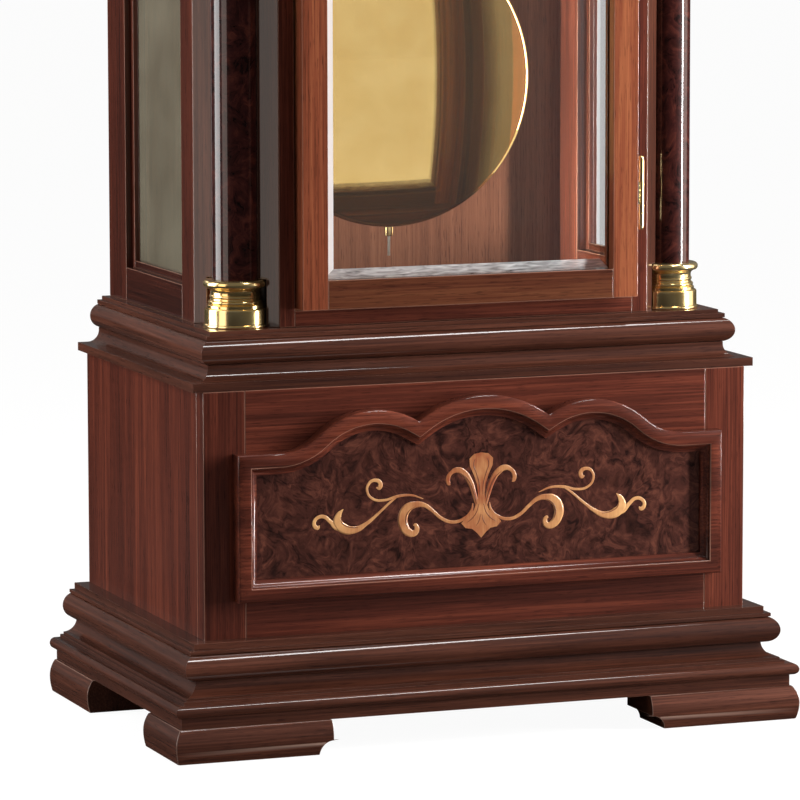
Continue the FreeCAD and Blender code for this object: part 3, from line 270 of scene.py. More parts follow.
def burl(name, dark, middle, light, lacquer):
    """Burl veneer: figure that swirls round small dark eyes, under polished lacquer."""
    finish, tree, shader = new_finish(name)
    swirl_mm, eye_mm, fleck_mm, figure_deep_mm = 46, 25, 6, 0.3
    drift = (0.055, 0.055, 0.055)
    fleck_share, eye_share = 0.24, 0.75
    place = add(tree, "TexCoord").outputs["Object"]
    flow = add(tree, "TexNoise", {"Vector": place, "Scale": 1000 / swirl_mm, "Detail": 3, "Distortion": 1.4})
    moved = add(tree, "VectorMath", {0: flow.outputs[1], 1: drift, 2: place}, operation="MULTIPLY_ADD")
    bent = moved.outputs[0]
    cloud = add(tree, "TexNoise", {"Vector": bent, "Scale": 1000 / eye_mm, "Detail": 6, "Roughness": 0.62,
                                   "Distortion": 2.2}).outputs[0]
    fleck = add(tree, "TexNoise", {"Vector": bent, "Scale": 1000 / fleck_mm, "Detail": 2}).outputs[0]
    eyes = add(tree, "TexVoronoi", {"Vector": bent, "Scale": 1000 / eye_mm, "Randomness": 1}).outputs[0]
    figure = add(tree, "Mix", {0: fleck_share, 2: cloud, 3: fleck}).outputs[0]
    colour = add(tree, "ValToRGB", {0: figure}, stops=[(0.36, linear(dark)), (0.51, linear(middle)),
                                                      (0.68, linear(light))]).outputs[0]
    pupil = add(tree, "ValToRGB", {0: eyes}, stops=[(0.05, linear("#958b8b")),
                                                   (0.3, linear("#ffffff"))]).outputs[0]
    stained = add(tree, "Mix", {0: eye_share, 6: colour, 7: pupil}, data_type="RGBA", blend_type="MULTIPLY")
    tree.links.new(stained.outputs[2], shader.inputs["Base Color"])
    dull = add(tree, "MapRange", {0: cloud, 3: 0.3, 4: 0.5}).outputs[0]
    tree.links.new(dull, shader.inputs["Roughness"])
    relief = add(tree, "Bump", {"Strength": 0.04, "Distance": figure_deep_mm / 1000, "Height": figure})
    tree.links.new(relief.outputs[0], shader.inputs["Normal"])
    shader.inputs["Specular IOR Level"].default_value = 0.06
    shader.inputs["Coat Weight"].default_value = lacquer
    shader.inputs["Coat Roughness"].default_value = 0.05
    return finish


# Red-brown clouds with near-black eyes, glossy enough to mirror softly
panel_burl = burl("walnut_burl", "#1f0e0c", "#42221b", "#64382b", lacquer=0.6)
dressed("burl_panel", panel_burl, edge=0.0003)


def arc(start, end, hub, steps):
    """Points along the shorter arc round a hub, from its start up to just before its end."""
    first = math.atan2(start[1] - hub[1], start[0] - hub[0])
    sweep = (math.atan2(end[1] - hub[1], end[0] - hub[0]) - first + math.pi) % math.tau - math.pi
    radius = math.dist(start, hub)
    angles = [first + sweep * step / steps for step in range(steps)]
    return [(hub[0] + radius * math.cos(angle), hub[1] + radius * math.sin(angle)) for angle in angles]


def lobed_outline():
    """Outer edge of the moulding: straight foot and sides, hollow shoulders and three lobes."""
    shoulder_rise, shoulder_wide = 0.1253, 0.0367
    hollow_wide, hollow_rise = 0.0352, 0.0134
    cusp_x, cusp_rise, lobe_rise, side_hub_drop = 0.0595, 0.0215, 0.0195, 0.0427
    half = moulding_high.x
    shoulder, bend = moulding_low.z + shoulder_rise, half - shoulder_wide
    turn = (bend - hollow_wide, shoulder + hollow_rise)
    cusp = (cusp_x, shoulder + cusp_rise)
    lobe_top = cusp[1] + lobe_rise
    middle_hub = (0, lobe_top - (cusp_x ** 2 + lobe_rise ** 2) / (2 * lobe_rise))
    side_z = shoulder - side_hub_drop
    across, up = cusp[0] - turn[0], cusp[1] - turn[1]
    side_hub = ((turn[0] + cusp[0]) / 2 - (side_z - (turn[1] + cusp[1]) / 2) * up / across, side_z)
    hollow_hub = (bend, shoulder + hollow_rise / 2 + hollow_wide ** 2 / (2 * hollow_rise))
    right = [(half, moulding_low.z), (half, shoulder)]
    right += arc((bend, shoulder), turn, hollow_hub, steps=7)
    right += arc(turn, cusp, side_hub, steps=14)
    right += arc(cusp, (0, lobe_top), middle_hub, steps=9)
    left = [(-x, z) for x, z in reversed(right)]
    return right + [(0, lobe_top)] + left


def panel_moulding():
    """A sheet with the moulding's outline, raised ring by ring to the section of the moulding."""
    edge_deep = 0.0104
    # Steps in from the edge and up: a small round, a broad face, an arris, a quirk, a hollow and a fillet
    section = ((0.0002, 0.0014), (0.0005, 0.001), (0.0009, 0.0006), (0.0046, 0.001), (0.0046, -0.0002),
               (0.0007, -0.0003), (0.0004, -0.0007), (0.0002, -0.0012), (0.0008, -0.0001), (0.0007, -0.0012),
               (0.0011, -0.0014), (0.0014, -0.0012), (0.0012, -0.0006), (0.0008, -0.0001), (0.0003, -0.0023))
    corners = lobed_outline()
    mesh = bpy.data.meshes.new("panel_moulding_run")
    mesh.from_pydata([(x, moulding_high.y, z) for x, z in corners], [], [list(range(len(corners)))])
    piece = bpy.data.objects.new("panel_moulding_run", mesh)
    bpy.context.collection.objects.link(piece)
    only(piece)
    bpy.ops.object.mode_set(mode="EDIT")
    bpy.ops.mesh.select_all(action="SELECT")
    bpy.ops.mesh.extrude_region_move(TRANSFORM_OT_translate={"value": (0, -edge_deep, 0)})
    for inward, upward in section:
        bpy.ops.mesh.inset(thickness=inward, depth=upward, use_even_offset=True)
    bpy.ops.mesh.delete(type="ONLY_FACE")
    bpy.ops.object.mode_set(mode="OBJECT")
    set_grain(piece, "X", number=3)
    set_arris(piece)
    smooth(piece, degrees=40)
    piece.data.materials.append(case_wood)
    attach(piece, "case")
    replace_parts(piece, "panel_moulding")


panel_moulding()

# Inlay: scrolls, leaves and a lily of pale fruitwood, sawn from thin veneer, shaded in hot sand and let
# flush into the burl. It is drawn once and turned over for the other half. The points are millimetres
# across, up and wide, from the heart of the lily; the lily itself is an outline.
panel_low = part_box("burl_panel")[0]
heart_rise = 0.0508
inlay_y, inlay_z = panel_low.y, panel_low.z + heart_rise
petal = ((3.6, 3, 2.5), (6.2, 14, 4.5), (10, 25, 5.5), (15.5, 33, 6), (22, 36.2, 5.2), (27.6, 34, 3.6),
         (30.4, 29.5, 4.2), (29.8, 25, 3.8), (28.3, 23.6, 0.6))
stem = ((7.6, 7, 1), (9.2, 0, 2.8), (16, -6, 2.8), (26, -8.4, 3), (35.7, -5, 3), (44.3, 2.2, 3.2),
        (52, 7.6, 4), (60, 8.6, 5.6), (67.5, 5.8, 8.6), (71.4, -0.6, 9.6), (71, -8.4, 9), (66.8, -14.6, 7.6),
        (61, -15.8, 5.6), (58.8, -12, 4.6), (60.6, -9, 3.4), (62, -9.4, 0.6))
tendril = ((53, 13.2, 0.8), (64, 16.8, 2), (76, 16.6, 2.6), (88, 13.9, 2.2), (98, 15.2, 2.2),
           (103.6, 21.6, 2.3), (102.4, 28.6, 2.6), (97, 31.4, 3), (92, 28.6, 4), (93, 24.8, 4.4),
           (95.6, 25, 0.8))
branch = ((76, 16.6, 1.2), (84, 11, 2.2), (94, 2.6, 2.4), (104, -5, 3.4), (115, -10, 6), (125, -8.4, 9),
          (130.6, -2.4, 8.4), (129.4, 3.6, 5.2), (125.4, 8.2, 0.6))
curl = ((124, -10.6, 2), (132, -7, 4.6), (137.5, -1.4, 3.6), (143.6, 2.9, 3.2), (149.8, 1.2, 3.2),
        (151.6, -3.6, 3.6), (148.6, -6.4, 4), (146.6, -4.6, 0.8))
veins = (((60.5, 6.8, 0.4), (66.5, 2.6, 0.8), (68.8, -3.4, 0.9), (67.8, -9.6, 0.5)),
         ((112, -8.4, 0.4), (120, -7.2, 0.8), (126.4, -3.6, 0.8), (127.6, 1.4, 0.4)),
         ((4.2, 6, 0.5), (7.6, 18, 0.8), (12.6, 28, 0.8), (19, 33.4, 0.4)),
         ((5.6, 45, 0.4), (7, 41, 0.8), (4.6, 33, 0.8), (2, 24, 0.8), (1.4, 14, 0.4)),
         ((2.2, 6, 0.5), (4.4, -1, 0.9), (8.6, -6.4, 0.9), (13, -9.4, 0.4)),
         ((0.6, -3, 0.4), (2.2, -9, 0.9), (4.6, -12.6, 0.4)))
lily = ((0, 50.3), (6.5, 49.2), (10.8, 45.2), (10.4, 39), (6.8, 31.4), (3.9, 23), (3.1, 15), (3.7, 8.4),
        (7.2, 0.4), (12.6, -4.4), (18.4, -9.8), (14.4, -14.2), (8.4, -15.2), (4.4, -18.4), (0, -23.3))


def fruitwood(name, dark, light):
    """Fruitwood veneer: fine straight grain, scorched in patches by the hot sand and paler outwards."""
    finish, tree, shader = new_finish(name)
    streak_mm, scorch_mm = (1.6, 10, 14.4), 17
    scorch_share, paling = 0.7, 2.2
    place = add(tree, "TexCoord").outputs["Object"]
    repeats = [1000 / part for part in streak_mm]
    stretch = add(tree, "VectorMath", {0: place, 1: repeats}, operation="MULTIPLY").outputs[0]
    streak = add(tree, "TexNoise", {"Vector": stretch, "Scale": 1, "Detail": 2}).outputs[0]
    scorch = add(tree, "TexNoise", {"Vector": place, "Scale": 1000 / scorch_mm, "Detail": 2}).outputs[0]
    figure = add(tree, "Mix", {0: scorch_share, 2: streak, 3: scorch}).outputs[0]
    across = add(tree, "SeparateXYZ", {0: place}).outputs[0]
    outward = add(tree, "Math", {0: across}, operation="ABSOLUTE").outputs[0]
    paler = add(tree, "Math", {0: outward, 1: paling, 2: figure}, operation="MULTIPLY_ADD").outputs[0]
    colour = add(tree, "ValToRGB", {0: paler}, stops=[(0.36, linear(dark)), (0.94, linear(light))]).outputs[0]
    tree.links.new(colour, shader.inputs["Base Color"])
    dull = add(tree, "MapRange", {0: streak, 3: 0.3, 4: 0.45}).outputs[0]
    tree.links.new(dull, shader.inputs["Roughness"])
    shader.inputs["Coat Weight"].default_value = 0.7
    shader.inputs["Coat Roughness"].default_value = 0.05
    return finish


# Orange at the heart and straw at the tips, with thin brown lines for the veins
inlay_wood = fruitwood("scorched_fruitwood", "#8a3512", "#dba468")
vein_wood = fruitwood("scorched_line", "#5a2a18", "#8a4a2a")


def strand(name, points, side, proud):
    """A flat strand of veneer along points of the inlay, on one half of the panel."""
    half_mm, flatness = 0.0005, 0.02
    drawing = bpy.data.curves.new(name, "CURVE")
    drawing.dimensions = "3D"
    drawing.bevel_depth = half_mm
    drawing.bevel_resolution = 3
    drawing.resolution_u = 8
    drawing.use_fill_caps = True
    line = drawing.splines.new("BEZIER")
    line.bezier_points.add(len(points) - 1)
    for spot, (across, up, wide) in zip(line.bezier_points, points):
        spot.co = (side * across / 1000, 0, up / 1000)
        spot.radius = wide
        spot.handle_left_type = spot.handle_right_type = "AUTO"
    piece = bpy.data.objects.new(name, drawing)
    bpy.context.collection.objects.link(piece)
    only(piece)
    bpy.ops.object.convert(target="MESH")
    seat = Matrix.Translation((0, inlay_y - proud, inlay_z))
    piece.data.transform(seat @ Matrix.Diagonal((1, flatness, 1, 1)))
    return piece


def together(pieces, name, finish, body):
    """Joins like pieces into one object of one material that rides on a body."""
    whole = joined(pieces, name)
    whole.data.materials.append(finish)
    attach(whole, body)
    return whole


def inlay_lily():
    """The lily in the middle: its outline on both sides, as thick as the veneer."""
    sunk, thick = 0.0001, 0.00025
    corners = list(lily) + [(-across, up) for across, up in reversed(lily[1:-1])]
    spots = [(across / 1000, inlay_y + sunk, inlay_z + up / 1000) for across, up in corners]
    mesh = bpy.data.meshes.new("inlay_lily")
    mesh.from_pydata(spots, [], [list(range(len(corners)))])
    heart = bpy.data.objects.new("inlay_lily", mesh)
    bpy.context.collection.objects.link(heart)
    only(heart)
    bpy.ops.object.mode_set(mode="EDIT")
    bpy.ops.mesh.select_all(action="SELECT")
    bpy.ops.mesh.extrude_region_move(TRANSFORM_OT_translate={"value": (0, -thick, 0)})
    bpy.ops.mesh.select_all(action="SELECT")
    bpy.ops.mesh.normals_make_consistent(inside=False)
    bpy.ops.object.mode_set(mode="OBJECT")
    return heart


scrolls = [inlay_lily()]
for side in (-1, 1):
    for points in (petal, stem, tendril, branch, curl):
        scrolls.append(strand("inlay_scroll", points, side, proud=0))
together(scrolls, "scroll_inlay", inlay_wood, "case")
lines = [strand("inlay_vein", points, side, proud=0.0002) for side in (-1, 1) for points in veins]
together(lines, "inlay_veins", vein_wood, "case")

# Waist, trunk and hood woodwork: mitred mouldings, canted posts grooved for the columns, glazed side
# frames with planted beads, front frames and back boards, all of mahogany like the base.
for node in ("waist_moulding", "hood_moulding", "cornice_moulding", "trunk_posts", "hood_posts"):
    dressed(node, moulding_wood)
for node in ("hood_top", "trunk_front_frame", "hood_front_frame"):
    dressed(node, case_wood)
for node in ("trunk_side_frames", "hood_side_frames"):
    dressed(node, case_wood, tones=(0.7, 0.45))
# Paler and almost without lacquer, so that the inside stays soft and light
back_wood = mahogany("satin_mahogany", "#683f2c", "#805139", "#946449", "#b08468", lacquer=0.1)
dressed("back_boards", back_wood, "Z")
dressed("seat_board", back_wood)

# Columns: turned shafts, veneered in burl, stained almost black and polished. They stand free in the
# hollows of the canted posts, held at both ends by their mounts, and show sharp upright highlights.
column_burl = burl("dark_burl", "#1a0908", "#361613", "#55281f", lacquer=0.9)
for node in ("trunk_columns", "hood_columns"):
    dressed(node, column_burl, edge=0.0004)

# Column mounts: bases and capitals cast in brass, turned on the lathe, polished and lacquered, and
# pinned to the shafts. A capital is a base turned upside down.


def brass(name, dark, light, dull, bright, marks=0.015, mirror=1):
    """Brass: faint clouds, paler where they dull it, and turning marks drawn coarse enough to show."""
    finish, tree, shader = new_finish(name)
    cloud_mm, mark_mm, mark_deep_mm = 30, 0.8, 0.2
    place = add(tree, "TexCoord").outputs["Object"]
    cloud = add(tree, "TexNoise", {"Vector": place, "Scale": 1000 / cloud_mm, "Detail": 4}).outputs[0]
    mark = add(tree, "TexNoise", {"Vector": place, "Scale": 1000 / mark_mm, "Detail": 1}).outputs[0]
    colour = add(tree, "ValToRGB", {0: cloud}, stops=[(0.35, linear(dark)), (0.65, linear(light))]).outputs[0]
    tree.links.new(colour, shader.inputs["Base Color"])
    roughness = add(tree, "MapRange", {0: cloud, 3: bright, 4: dull}).outputs[0]
    tree.links.new(roughness, shader.inputs["Roughness"])
    relief = add(tree, "Bump", {"Strength": marks, "Distance": mark_deep_mm / 1000, "Height": mark})
    tree.links.new(relief.outputs[0], shader.inputs["Normal"])
    shader.inputs["Metallic"].default_value = mirror
    return finish


# Bright pale gold with crisp reflections
polished_brass = brass("polished_brass", "#ecca86", "#f8e0a8", dull=0.22, bright=0.13, mirror=0.95)


def turned(name, profile, middle, axis="Z", steps=64):
    """A piece turned from (radius, place) pairs in millimetres about an axis through a point."""
    one_point = 0.000005
    mesh = bpy.data.meshes.new(name)
    spots = []
    for radius, place in profile:
        if axis == "Z":
            spots.append((middle[0] + radius / 1000, middle[1], middle[2] + place / 1000))
        else:
            spots.append((middle[0] + radius / 1000, middle[1] + place / 1000, middle[2]))
    mesh.from_pydata(spots, [(at, at + 1) for at in range(len(spots) - 1)], [])
    piece = bpy.data.objects.new(name, mesh)
    bpy.context.collection.objects.link(piece)
    only(piece)
    pole = (0, 0, 1) if axis == "Z" else (0, 1, 0)
    bpy.ops.object.mode_set(mode="EDIT")
    bpy.ops.mesh.select_all(action="SELECT")
    bpy.ops.mesh.spin(steps=steps, angle=math.tau, center=middle, axis=pole)
    bpy.ops.mesh.select_all(action="SELECT")
    bpy.ops.mesh.remove_doubles(threshold=one_point)
    bpy.ops.mesh.normals_make_consistent(inside=False)
    bpy.ops.object.mode_set(mode="OBJECT")
    smooth(piece, degrees=32)
    return piece


def copied(piece, across):
    """A copy of a modelled piece, with its own mesh, moved across to its place."""
    copy = bpy.data.objects.new(piece.name, piece.data.copy())
    copy.data.transform(Matrix.Translation((across, 0, 0)))
    bpy.context.collection.objects.link(copy)
    return copy


# From the foot up: a round, a plain drum, two rings, a neck and a thick round on which the shaft stands
mount_profile = ((0, 0), (26.9, 0), (27.4, 0.6), (27.5, 1.5), (27.2, 2.4), (26.5, 2.9), (26.4, 15.2),
                 (26, 16.3), (25, 16.9), (24.2, 17.1), (24.2, 19.4), (23.6, 20), (22.6, 20.3), (23.2, 21),
                 (23.5, 22), (23.2, 23), (22.5, 23.7), (21.6, 24), (21.4, 25.4), (22, 26), (22.3, 27),
                 (22, 28), (21.4, 28.6), (21.3, 31), (21.7, 32.6), (22.8, 34), (24.4, 34.9), (26, 35.4),
                 (26.9, 36.3), (27.4, 37.4), (27.5, 38.6), (27.2, 39.9), (26.5, 41), (25.4, 41.7), (24, 42),
                 (0, 42))
for storey in ("trunk", "hood"):
    shaft_low, shaft_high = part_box(storey + "_columns")
    mount_low, mount_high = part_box(storey + "_column_brass")
    shaft_radius = (shaft_high.y - shaft_low.y) / 2
    shaft_x, shaft_y = shaft_low.x + shaft_radius, (shaft_low.y + shaft_high.y) / 2
    to_other_shaft = shaft_high.x - shaft_low.x - 2 * shaft_radius
    stretch = (shaft_low.z - mount_low.z) * 1000 / mount_profile[-1][1]
    base = [(radius, place * stretch) for radius, place in mount_profile]
    capital = [(radius, -place) for radius, place in base]
    mounts = [turned("column_base", base, (shaft_x, shaft_y, mount_low.z)),
              turned("column_capital", capital, (shaft_x, shaft_y, mount_high.z))]
    mounts += [copied(mount, to_other_shaft) for mount in mounts]
    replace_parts(together(mounts, storey + "_column_mounts", polished_brass, "case"), storey + "_column_brass")

# Glass: clear float panes, held in the side frames and doors by planted beads. The door panes have a
# broad bevel, ground and polished round the front.


def outer_gloss(tree):
    """How much a pane mirrors where sight enters it; where sight leaves it, nothing."""
    edge_on = add(tree, "Fresnel", {"IOR": 1.5}).outputs[0]
    leaving = add(tree, "NewGeometry").outputs["Backfacing"]
    return add(tree, "Mix", {0: leaving, 2: edge_on, 3: 0}).outputs[0]


def clear_glass(name, strength, reflection_haze):
    """Clear glass: seen through from the front under a faint white haze painted in for the mirrored studio, and
    a mirror towards grazing sight.
    """
    finish, tree, shader = new_finish(name)
    waver_mm, waver_deep_mm = 240, 2
    tints = [(0.3, linear("#e6ece8")), (0.7, linear("#f4f8f6"))]
    place = add(tree, "TexCoord").outputs["Object"]
    waver = add(tree, "TexNoise", {"Vector": place, "Scale": 1000 / waver_mm}).outputs[0]
    relief = add(tree, "Bump", {"Strength": 0.02, "Distance": waver_deep_mm / 1000, "Height": waver})
    shine = add(tree, "Math", {0: outer_gloss(tree), 1: strength}, operation="MULTIPLY", use_clamp=True)
    tree.links.new(shine.outputs[0], shader.inputs["Alpha"])
    tree.links.new(relief.outputs[0], shader.inputs["Normal"])
    tint = add(tree, "ValToRGB", {0: waver}, stops=tints).outputs[0]
    tree.links.new(tint, shader.inputs["Base Color"])
    # Painted reflection: part of the pane is a diffuse white haze instead of a mirror
    shader.inputs["Metallic"].default_value = 1 - reflection_haze
    shader.inputs["Roughness"].default_value = 0.02
    return finish


def reflection_veiled_glass(name, dark, light, least, gain):
    """Glass with a painted reflection: a veil of grey colour, standing in for the mirrored studio, that
    thickens towards grazing sight.
    """
    finish, tree, shader = new_finish(name)
    waver_mm = 60
    place = add(tree, "TexCoord").outputs["Object"]
    waver = add(tree, "TexNoise", {"Vector": place, "Scale": 1000 / waver_mm}).outputs[0]
    colour = add(tree, "ValToRGB", {0: waver}, stops=[(0.3, linear(dark)), (0.7, linear(light))]).outputs[0]
    tree.links.new(colour, shader.inputs["Base Color"])
    gloss = outer_gloss(tree)
    # Painted reflection: the grey colour is laid over the pane more thickly towards grazing sight, as a
    # mirrored studio would be
    veil = add(tree, "Math", {0: gloss, 1: gain, 2: least}, operation="MULTIPLY_ADD", use_clamp=True)
    tree.links.new(veil.outputs[0], shader.inputs["Alpha"])
    shader.inputs["Roughness"].default_value = 0.03
    return finish


def bevel_cut(name, dark, light):
    """A pane's polished slope: painted white where it faces the light, streaked below, painted dark on the far
    side.
    """
    finish, tree, shader = new_finish(name)
    streak_mm, streak_gain, streak_base = (16, 20, 2.4), 1.1, -0.55
    painted_light_share = add(tree, "Attribute", attribute_name="catch").outputs["Fac"]
    place = add(tree, "TexCoord").outputs["Object"]
    repeats = [1000 / part for part in streak_mm]
    stretch = add(tree, "VectorMath", {0: place, 1: repeats}, operation="MULTIPLY").outputs[0]
    streak = add(tree, "TexNoise", {"Vector": stretch, "Scale": 1, "Detail": 2, "Distortion": 0.6}).outputs[0]
    level = add(tree, "Math", {0: streak, 1: streak_gain, 2: streak_base}, operation="MULTIPLY_ADD")
    shown = add(tree, "Math", {0: painted_light_share, 1: level.outputs[0]}, use_clamp=True).outputs[0]
    colour = add(tree, "ValToRGB", {0: shown}, stops=[(0.1, linear(dark)), (0.75, linear(light))]).outputs[0]
    tree.links.new(colour, shader.inputs["Base Color"])
    veil = add(tree, "MapRange", {0: painted_light_share, 3: 0.35, 4: 0.95}).outputs[0]
    tree.links.new(veil, shader.inputs["Alpha"])
    shader.inputs["Roughness"].default_value = 0.05
    return finish


# Clear door and side panes, the door panes under a painted white haze; the left side panes carry a grey veil of
# painted reflection, and the bevels are painted white to black as they face the light
pane_glass = clear_glass("float_glass", strength=1.5, reflection_haze=0.34)
side_glass = clear_glass("side_glass", strength=1, reflection_haze=0)
painted_reflection_glass = reflection_veiled_glass("glass_with_painted_reflection", "#6a6455", "#7d7766", least=0.1, gain=3)
bevel_glass = bevel_cut("bevelled_glass", "#1c1a18", "#fbfcfc")
for node in ("trunk_side_glass", "hood_side_glass"):
    panes = dressed(node, side_glass, edge=0.0004)
    panes.data.materials.append(painted_reflection_glass)
    panes.visible_shadow = False
    for face in panes.data.polygons:
        face.material_index = 1 if face.center.x < 0 else 0


def bevelled_pane(node, body):
    """A flat pane whose front is raised inside a bevel all round."""
    low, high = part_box(node)
    bevel_wide, bevel_deep = 0.0146, 0.002
    even_light, side_light = 0.5, 4.5
    bpy.ops.object.select_all(action="DESELECT")
    bpy.ops.mesh.primitive_cube_add(size=1)
    piece = bpy.context.object
    piece.name = "bevelled_" + node
    deep = high.y - low.y - bevel_deep
    seat = Matrix.Translation(((low.x + high.x) / 2, high.y - deep / 2, (low.z + high.z) / 2))
    piece.data.transform(seat @ Matrix.Diagonal((high.x - low.x, deep, high.z - low.z, 1)))
    piece.data.materials.append(pane_glass)
    piece.data.materials.append(bevel_glass)
    bpy.context.tool_settings.mesh_select_mode = (False, False, True)
    for face in piece.data.polygons:
        face.select = face.normal.y < -0.9
    bpy.ops.object.mode_set(mode="EDIT")
    bpy.ops.mesh.inset(thickness=bevel_wide, depth=bevel_deep)
    bpy.ops.object.mode_set(mode="OBJECT")
    # Painted light: slopes that face left get a high catch and show white, slopes that face right a low one and
    # show dark, the rest an even middle
    painted_light_share = piece.data.attributes.new("catch", "FLOAT", "FACE")
    for face, spot in zip(piece.data.polygons, painted_light_share.data):
        sloping = -0.9999 < face.normal.y < -0.5
        sideways = abs(face.normal.x) > abs(face.normal.z)
        face.material_index = 1 if sloping else 0
        spot.value = even_light - side_light * face.normal.x if sideways else even_light
    piece.visible_shadow = False
    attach(piece, body)
    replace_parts(piece, node)


# Doors: frames of warmer mahogany tenoned at the corners, with beads, hung at the right on brass butt
# hinges whose pins end in balls, and pulled by a turned brass knob. The stiles are redder than the rails.
door_wood = mahogany("door_mahogany", "#4e2213", "#733a24", "#935635", "#b98a72", lacquer=0.7)
for storey in ("trunk", "hood"):
    dressed(storey + "_door_frame", door_wood, tones=(1.2, 0.45))
    bevelled_pane(storey + "_door_glass", storey + "_door")
    for node in ("_hinge_leaves", "_door_leaves", "_door_knob"):
        dressed(storey + node, polished_brass, edge=0.0003)

# Pediment: two swan necks sawn from mahogany board, with turned rosettes glued on their curls, and
# between them a turned urn finial on its block.
for node in ("pediment_scrolls", "finial"):
    dressed(node, case_wood)
scroll_low, scroll_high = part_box("pediment_scrolls")
rosette_x, rosette_drop = 0.063, 0.028
rosette_profile = ((0, -7), (3, -6.6), (5, -5), (5.6, -3.4), (8, -3), (10, -4.6), (12.6, -5.2), (15, -4.4),
                   (16, -2.6), (18.5, -2.4), (20, -1.4), (20.4, 0), (0, 0))
curl_middle = (-rosette_x, scroll_low.y, scroll_high.z - rosette_drop)
rosette = turned("rosette", rosette_profile, curl_middle, axis="Y", steps=48)
rosettes = [rosette, copied(rosette, 2 * rosette_x)]
for side, rosette in zip((-1, 1), rosettes):
    set_grain(rosette, "Z", side)
together(rosettes, "pediment_rosettes", case_wood, "case")

# Movement: plates, pillars, wheels and barrels of brass and a pallet anchor of steel, machine cut and
# polished. Pillars hold the plates apart, and the wheels run between them on their arbors. The brass
# has an even yellow shine, the steel a cool grey one.
wheel_brass = brass("machined_brass", "#c39a50", "#dcb66c", dull=0.3, bright=0.2)


def steel(name, dark, light, bright):
    """Bright metal with a faint cloud of handling marks, paler where they dull it."""
    finish, tree, shader = new_finish(name)
    mark_mm, dulling = 6, 0.12
    place = add(tree, "TexCoord").outputs["Object"]
    mark = add(tree, "TexNoise", {"Vector": place, "Scale": 1000 / mark_mm, "Detail": 4}).outputs[0]
    colour = add(tree, "ValToRGB", {0: mark}, stops=[(0.35, linear(dark)), (0.65, linear(light))]).outputs[0]
    tree.links.new(colour, shader.inputs["Base Color"])
    roughness = add(tree, "MapRange", {0: mark, 3: bright, 4: bright + dulling}).outputs[0]
    tree.links.new(roughness, shader.inputs["Roughness"])
    shader.inputs["Metallic"].default_value = 1
    return finish


polished_steel = steel("polished_steel", "#8d8f93", "#b4b6ba", bright=0.16)
for node in ("movement_plates", "movement_pillars", "suspension_cock", "centre_wheel", "third_wheel",
             "escape_wheel", "great_wheel", "minute_wheel", "going_barrel", "strike_barrel"):
    dressed(node, wheel_brass, edge=0.0002)
dressed("pallet_anchor", polished_steel, edge=0.0002)

# Dial: a matted brass plate with an arch, and riveted on it a silvered chapter ring, which is engraved
# with plain numerals and minute marks that are filled with black wax.
# A dull yellow ground round a soft grey-white ring
dial_brass = brass("matted_brass", "#c0984e", "#d0a95e", dull=0.5, bright=0.38)
silvering = steel("silvered_brass", "#c9c7bf", "#e2e0d8", bright=0.4)
dressed("dial_plate", dial_brass, edge=0.0003)
dressed("chapter_ring", silvering, edge=0.0003)
ring_low, ring_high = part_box("chapter_ring")
dial_middle = Vector(((ring_low.x + ring_high.x) / 2, ring_low.y, (ring_low.z + ring_high.z) / 2))
ring_radius = (ring_high.x - ring_low.x) / 2


def engraving(name, dark, light):
    """Black wax in engraved lines, a little uneven."""
    finish, tree, shader = new_finish(name)
    grit_mm = 1.2
    place = add(tree, "TexCoord").outputs["Object"]
    grit = add(tree, "TexNoise", {"Vector": place, "Scale": 1000 / grit_mm}).outputs[0]
    colour = add(tree, "ValToRGB", {0: grit}, stops=[(0.3, linear(dark)), (0.7, linear(light))]).outputs[0]
    tree.links.new(colour, shader.inputs["Base Color"])
    shader.inputs["Roughness"].default_value = 0.5
    return finish


black_wax = engraving("black_wax", "#0c0b0b", "#1c1a19")


def on_ring(degrees, proud, radius_share):
    """The place on the chapter ring at an angle from twelve, so far out from the dial's middle."""
    turn = Matrix.Rotation(math.radians(degrees), 4, "Y")
    outward = Matrix.Translation((0, -proud, ring_radius * radius_share))
    return Matrix.Translation(dial_middle) @ turn @ outward


def numeral(words, degrees):
    """One hour's numeral, its foot towards the middle of the dial."""
    high, raised, radius_share = 0.024, 0.0001, 0.865
    drawing = bpy.data.curves.new("numeral", "FONT")
    drawing.body = words
    drawing.size = high
    drawing.align_x = "CENTER"
    drawing.align_y = "CENTER"
    drawing.extrude = raised
    mark = bpy.data.objects.new("numeral", drawing)
    bpy.context.collection.objects.link(mark)
    only(mark)
    bpy.ops.object.convert(target="MESH")
    mark.data.transform(on_ring(degrees, raised, radius_share) @ Matrix.Rotation(math.pi / 2, 4, "X"))
    return mark


def minute_ticks():
    """Sixty short strokes near the ring's edge, each fifth one twice as wide."""
    wide, deep, long, eased, radius_share = 0.0009, 0.0002, 0.005, 0.00006, 0.962
    bpy.ops.object.select_all(action="DESELECT")
    bpy.ops.mesh.primitive_cube_add(size=1)
    stroke = bpy.context.object
    stroke.data.transform(Matrix.Diagonal((wide, deep, long, 1)))
    bpy.ops.object.mode_set(mode="EDIT")
    bpy.ops.mesh.select_all(action="SELECT")
    bpy.ops.mesh.bevel(offset=eased, segments=2)
    bpy.ops.object.mode_set(mode="OBJECT")
    ticks = []
    for minute in range(60):
        tick = bpy.data.objects.new("minute_tick", stroke.data.copy())
        bpy.context.collection.objects.link(tick)
        heavy = 2 if minute % 5 == 0 else 1
        tick.data.transform(on_ring(6 * minute, 0, radius_share) @ Matrix.Diagonal((heavy, 1, 1, 1)))
        ticks.append(tick)
    bpy.data.objects.remove(stroke)
    return ticks


hours = ("XII", "I", "II", "III", "IIII", "V", "VI", "VII", "VIII", "IX", "X", "XI")
numerals = [numeral(words, 30 * hour) for hour, words in enumerate(hours)]
together(numerals + minute_ticks(), "dial_marks", black_wax, "case")

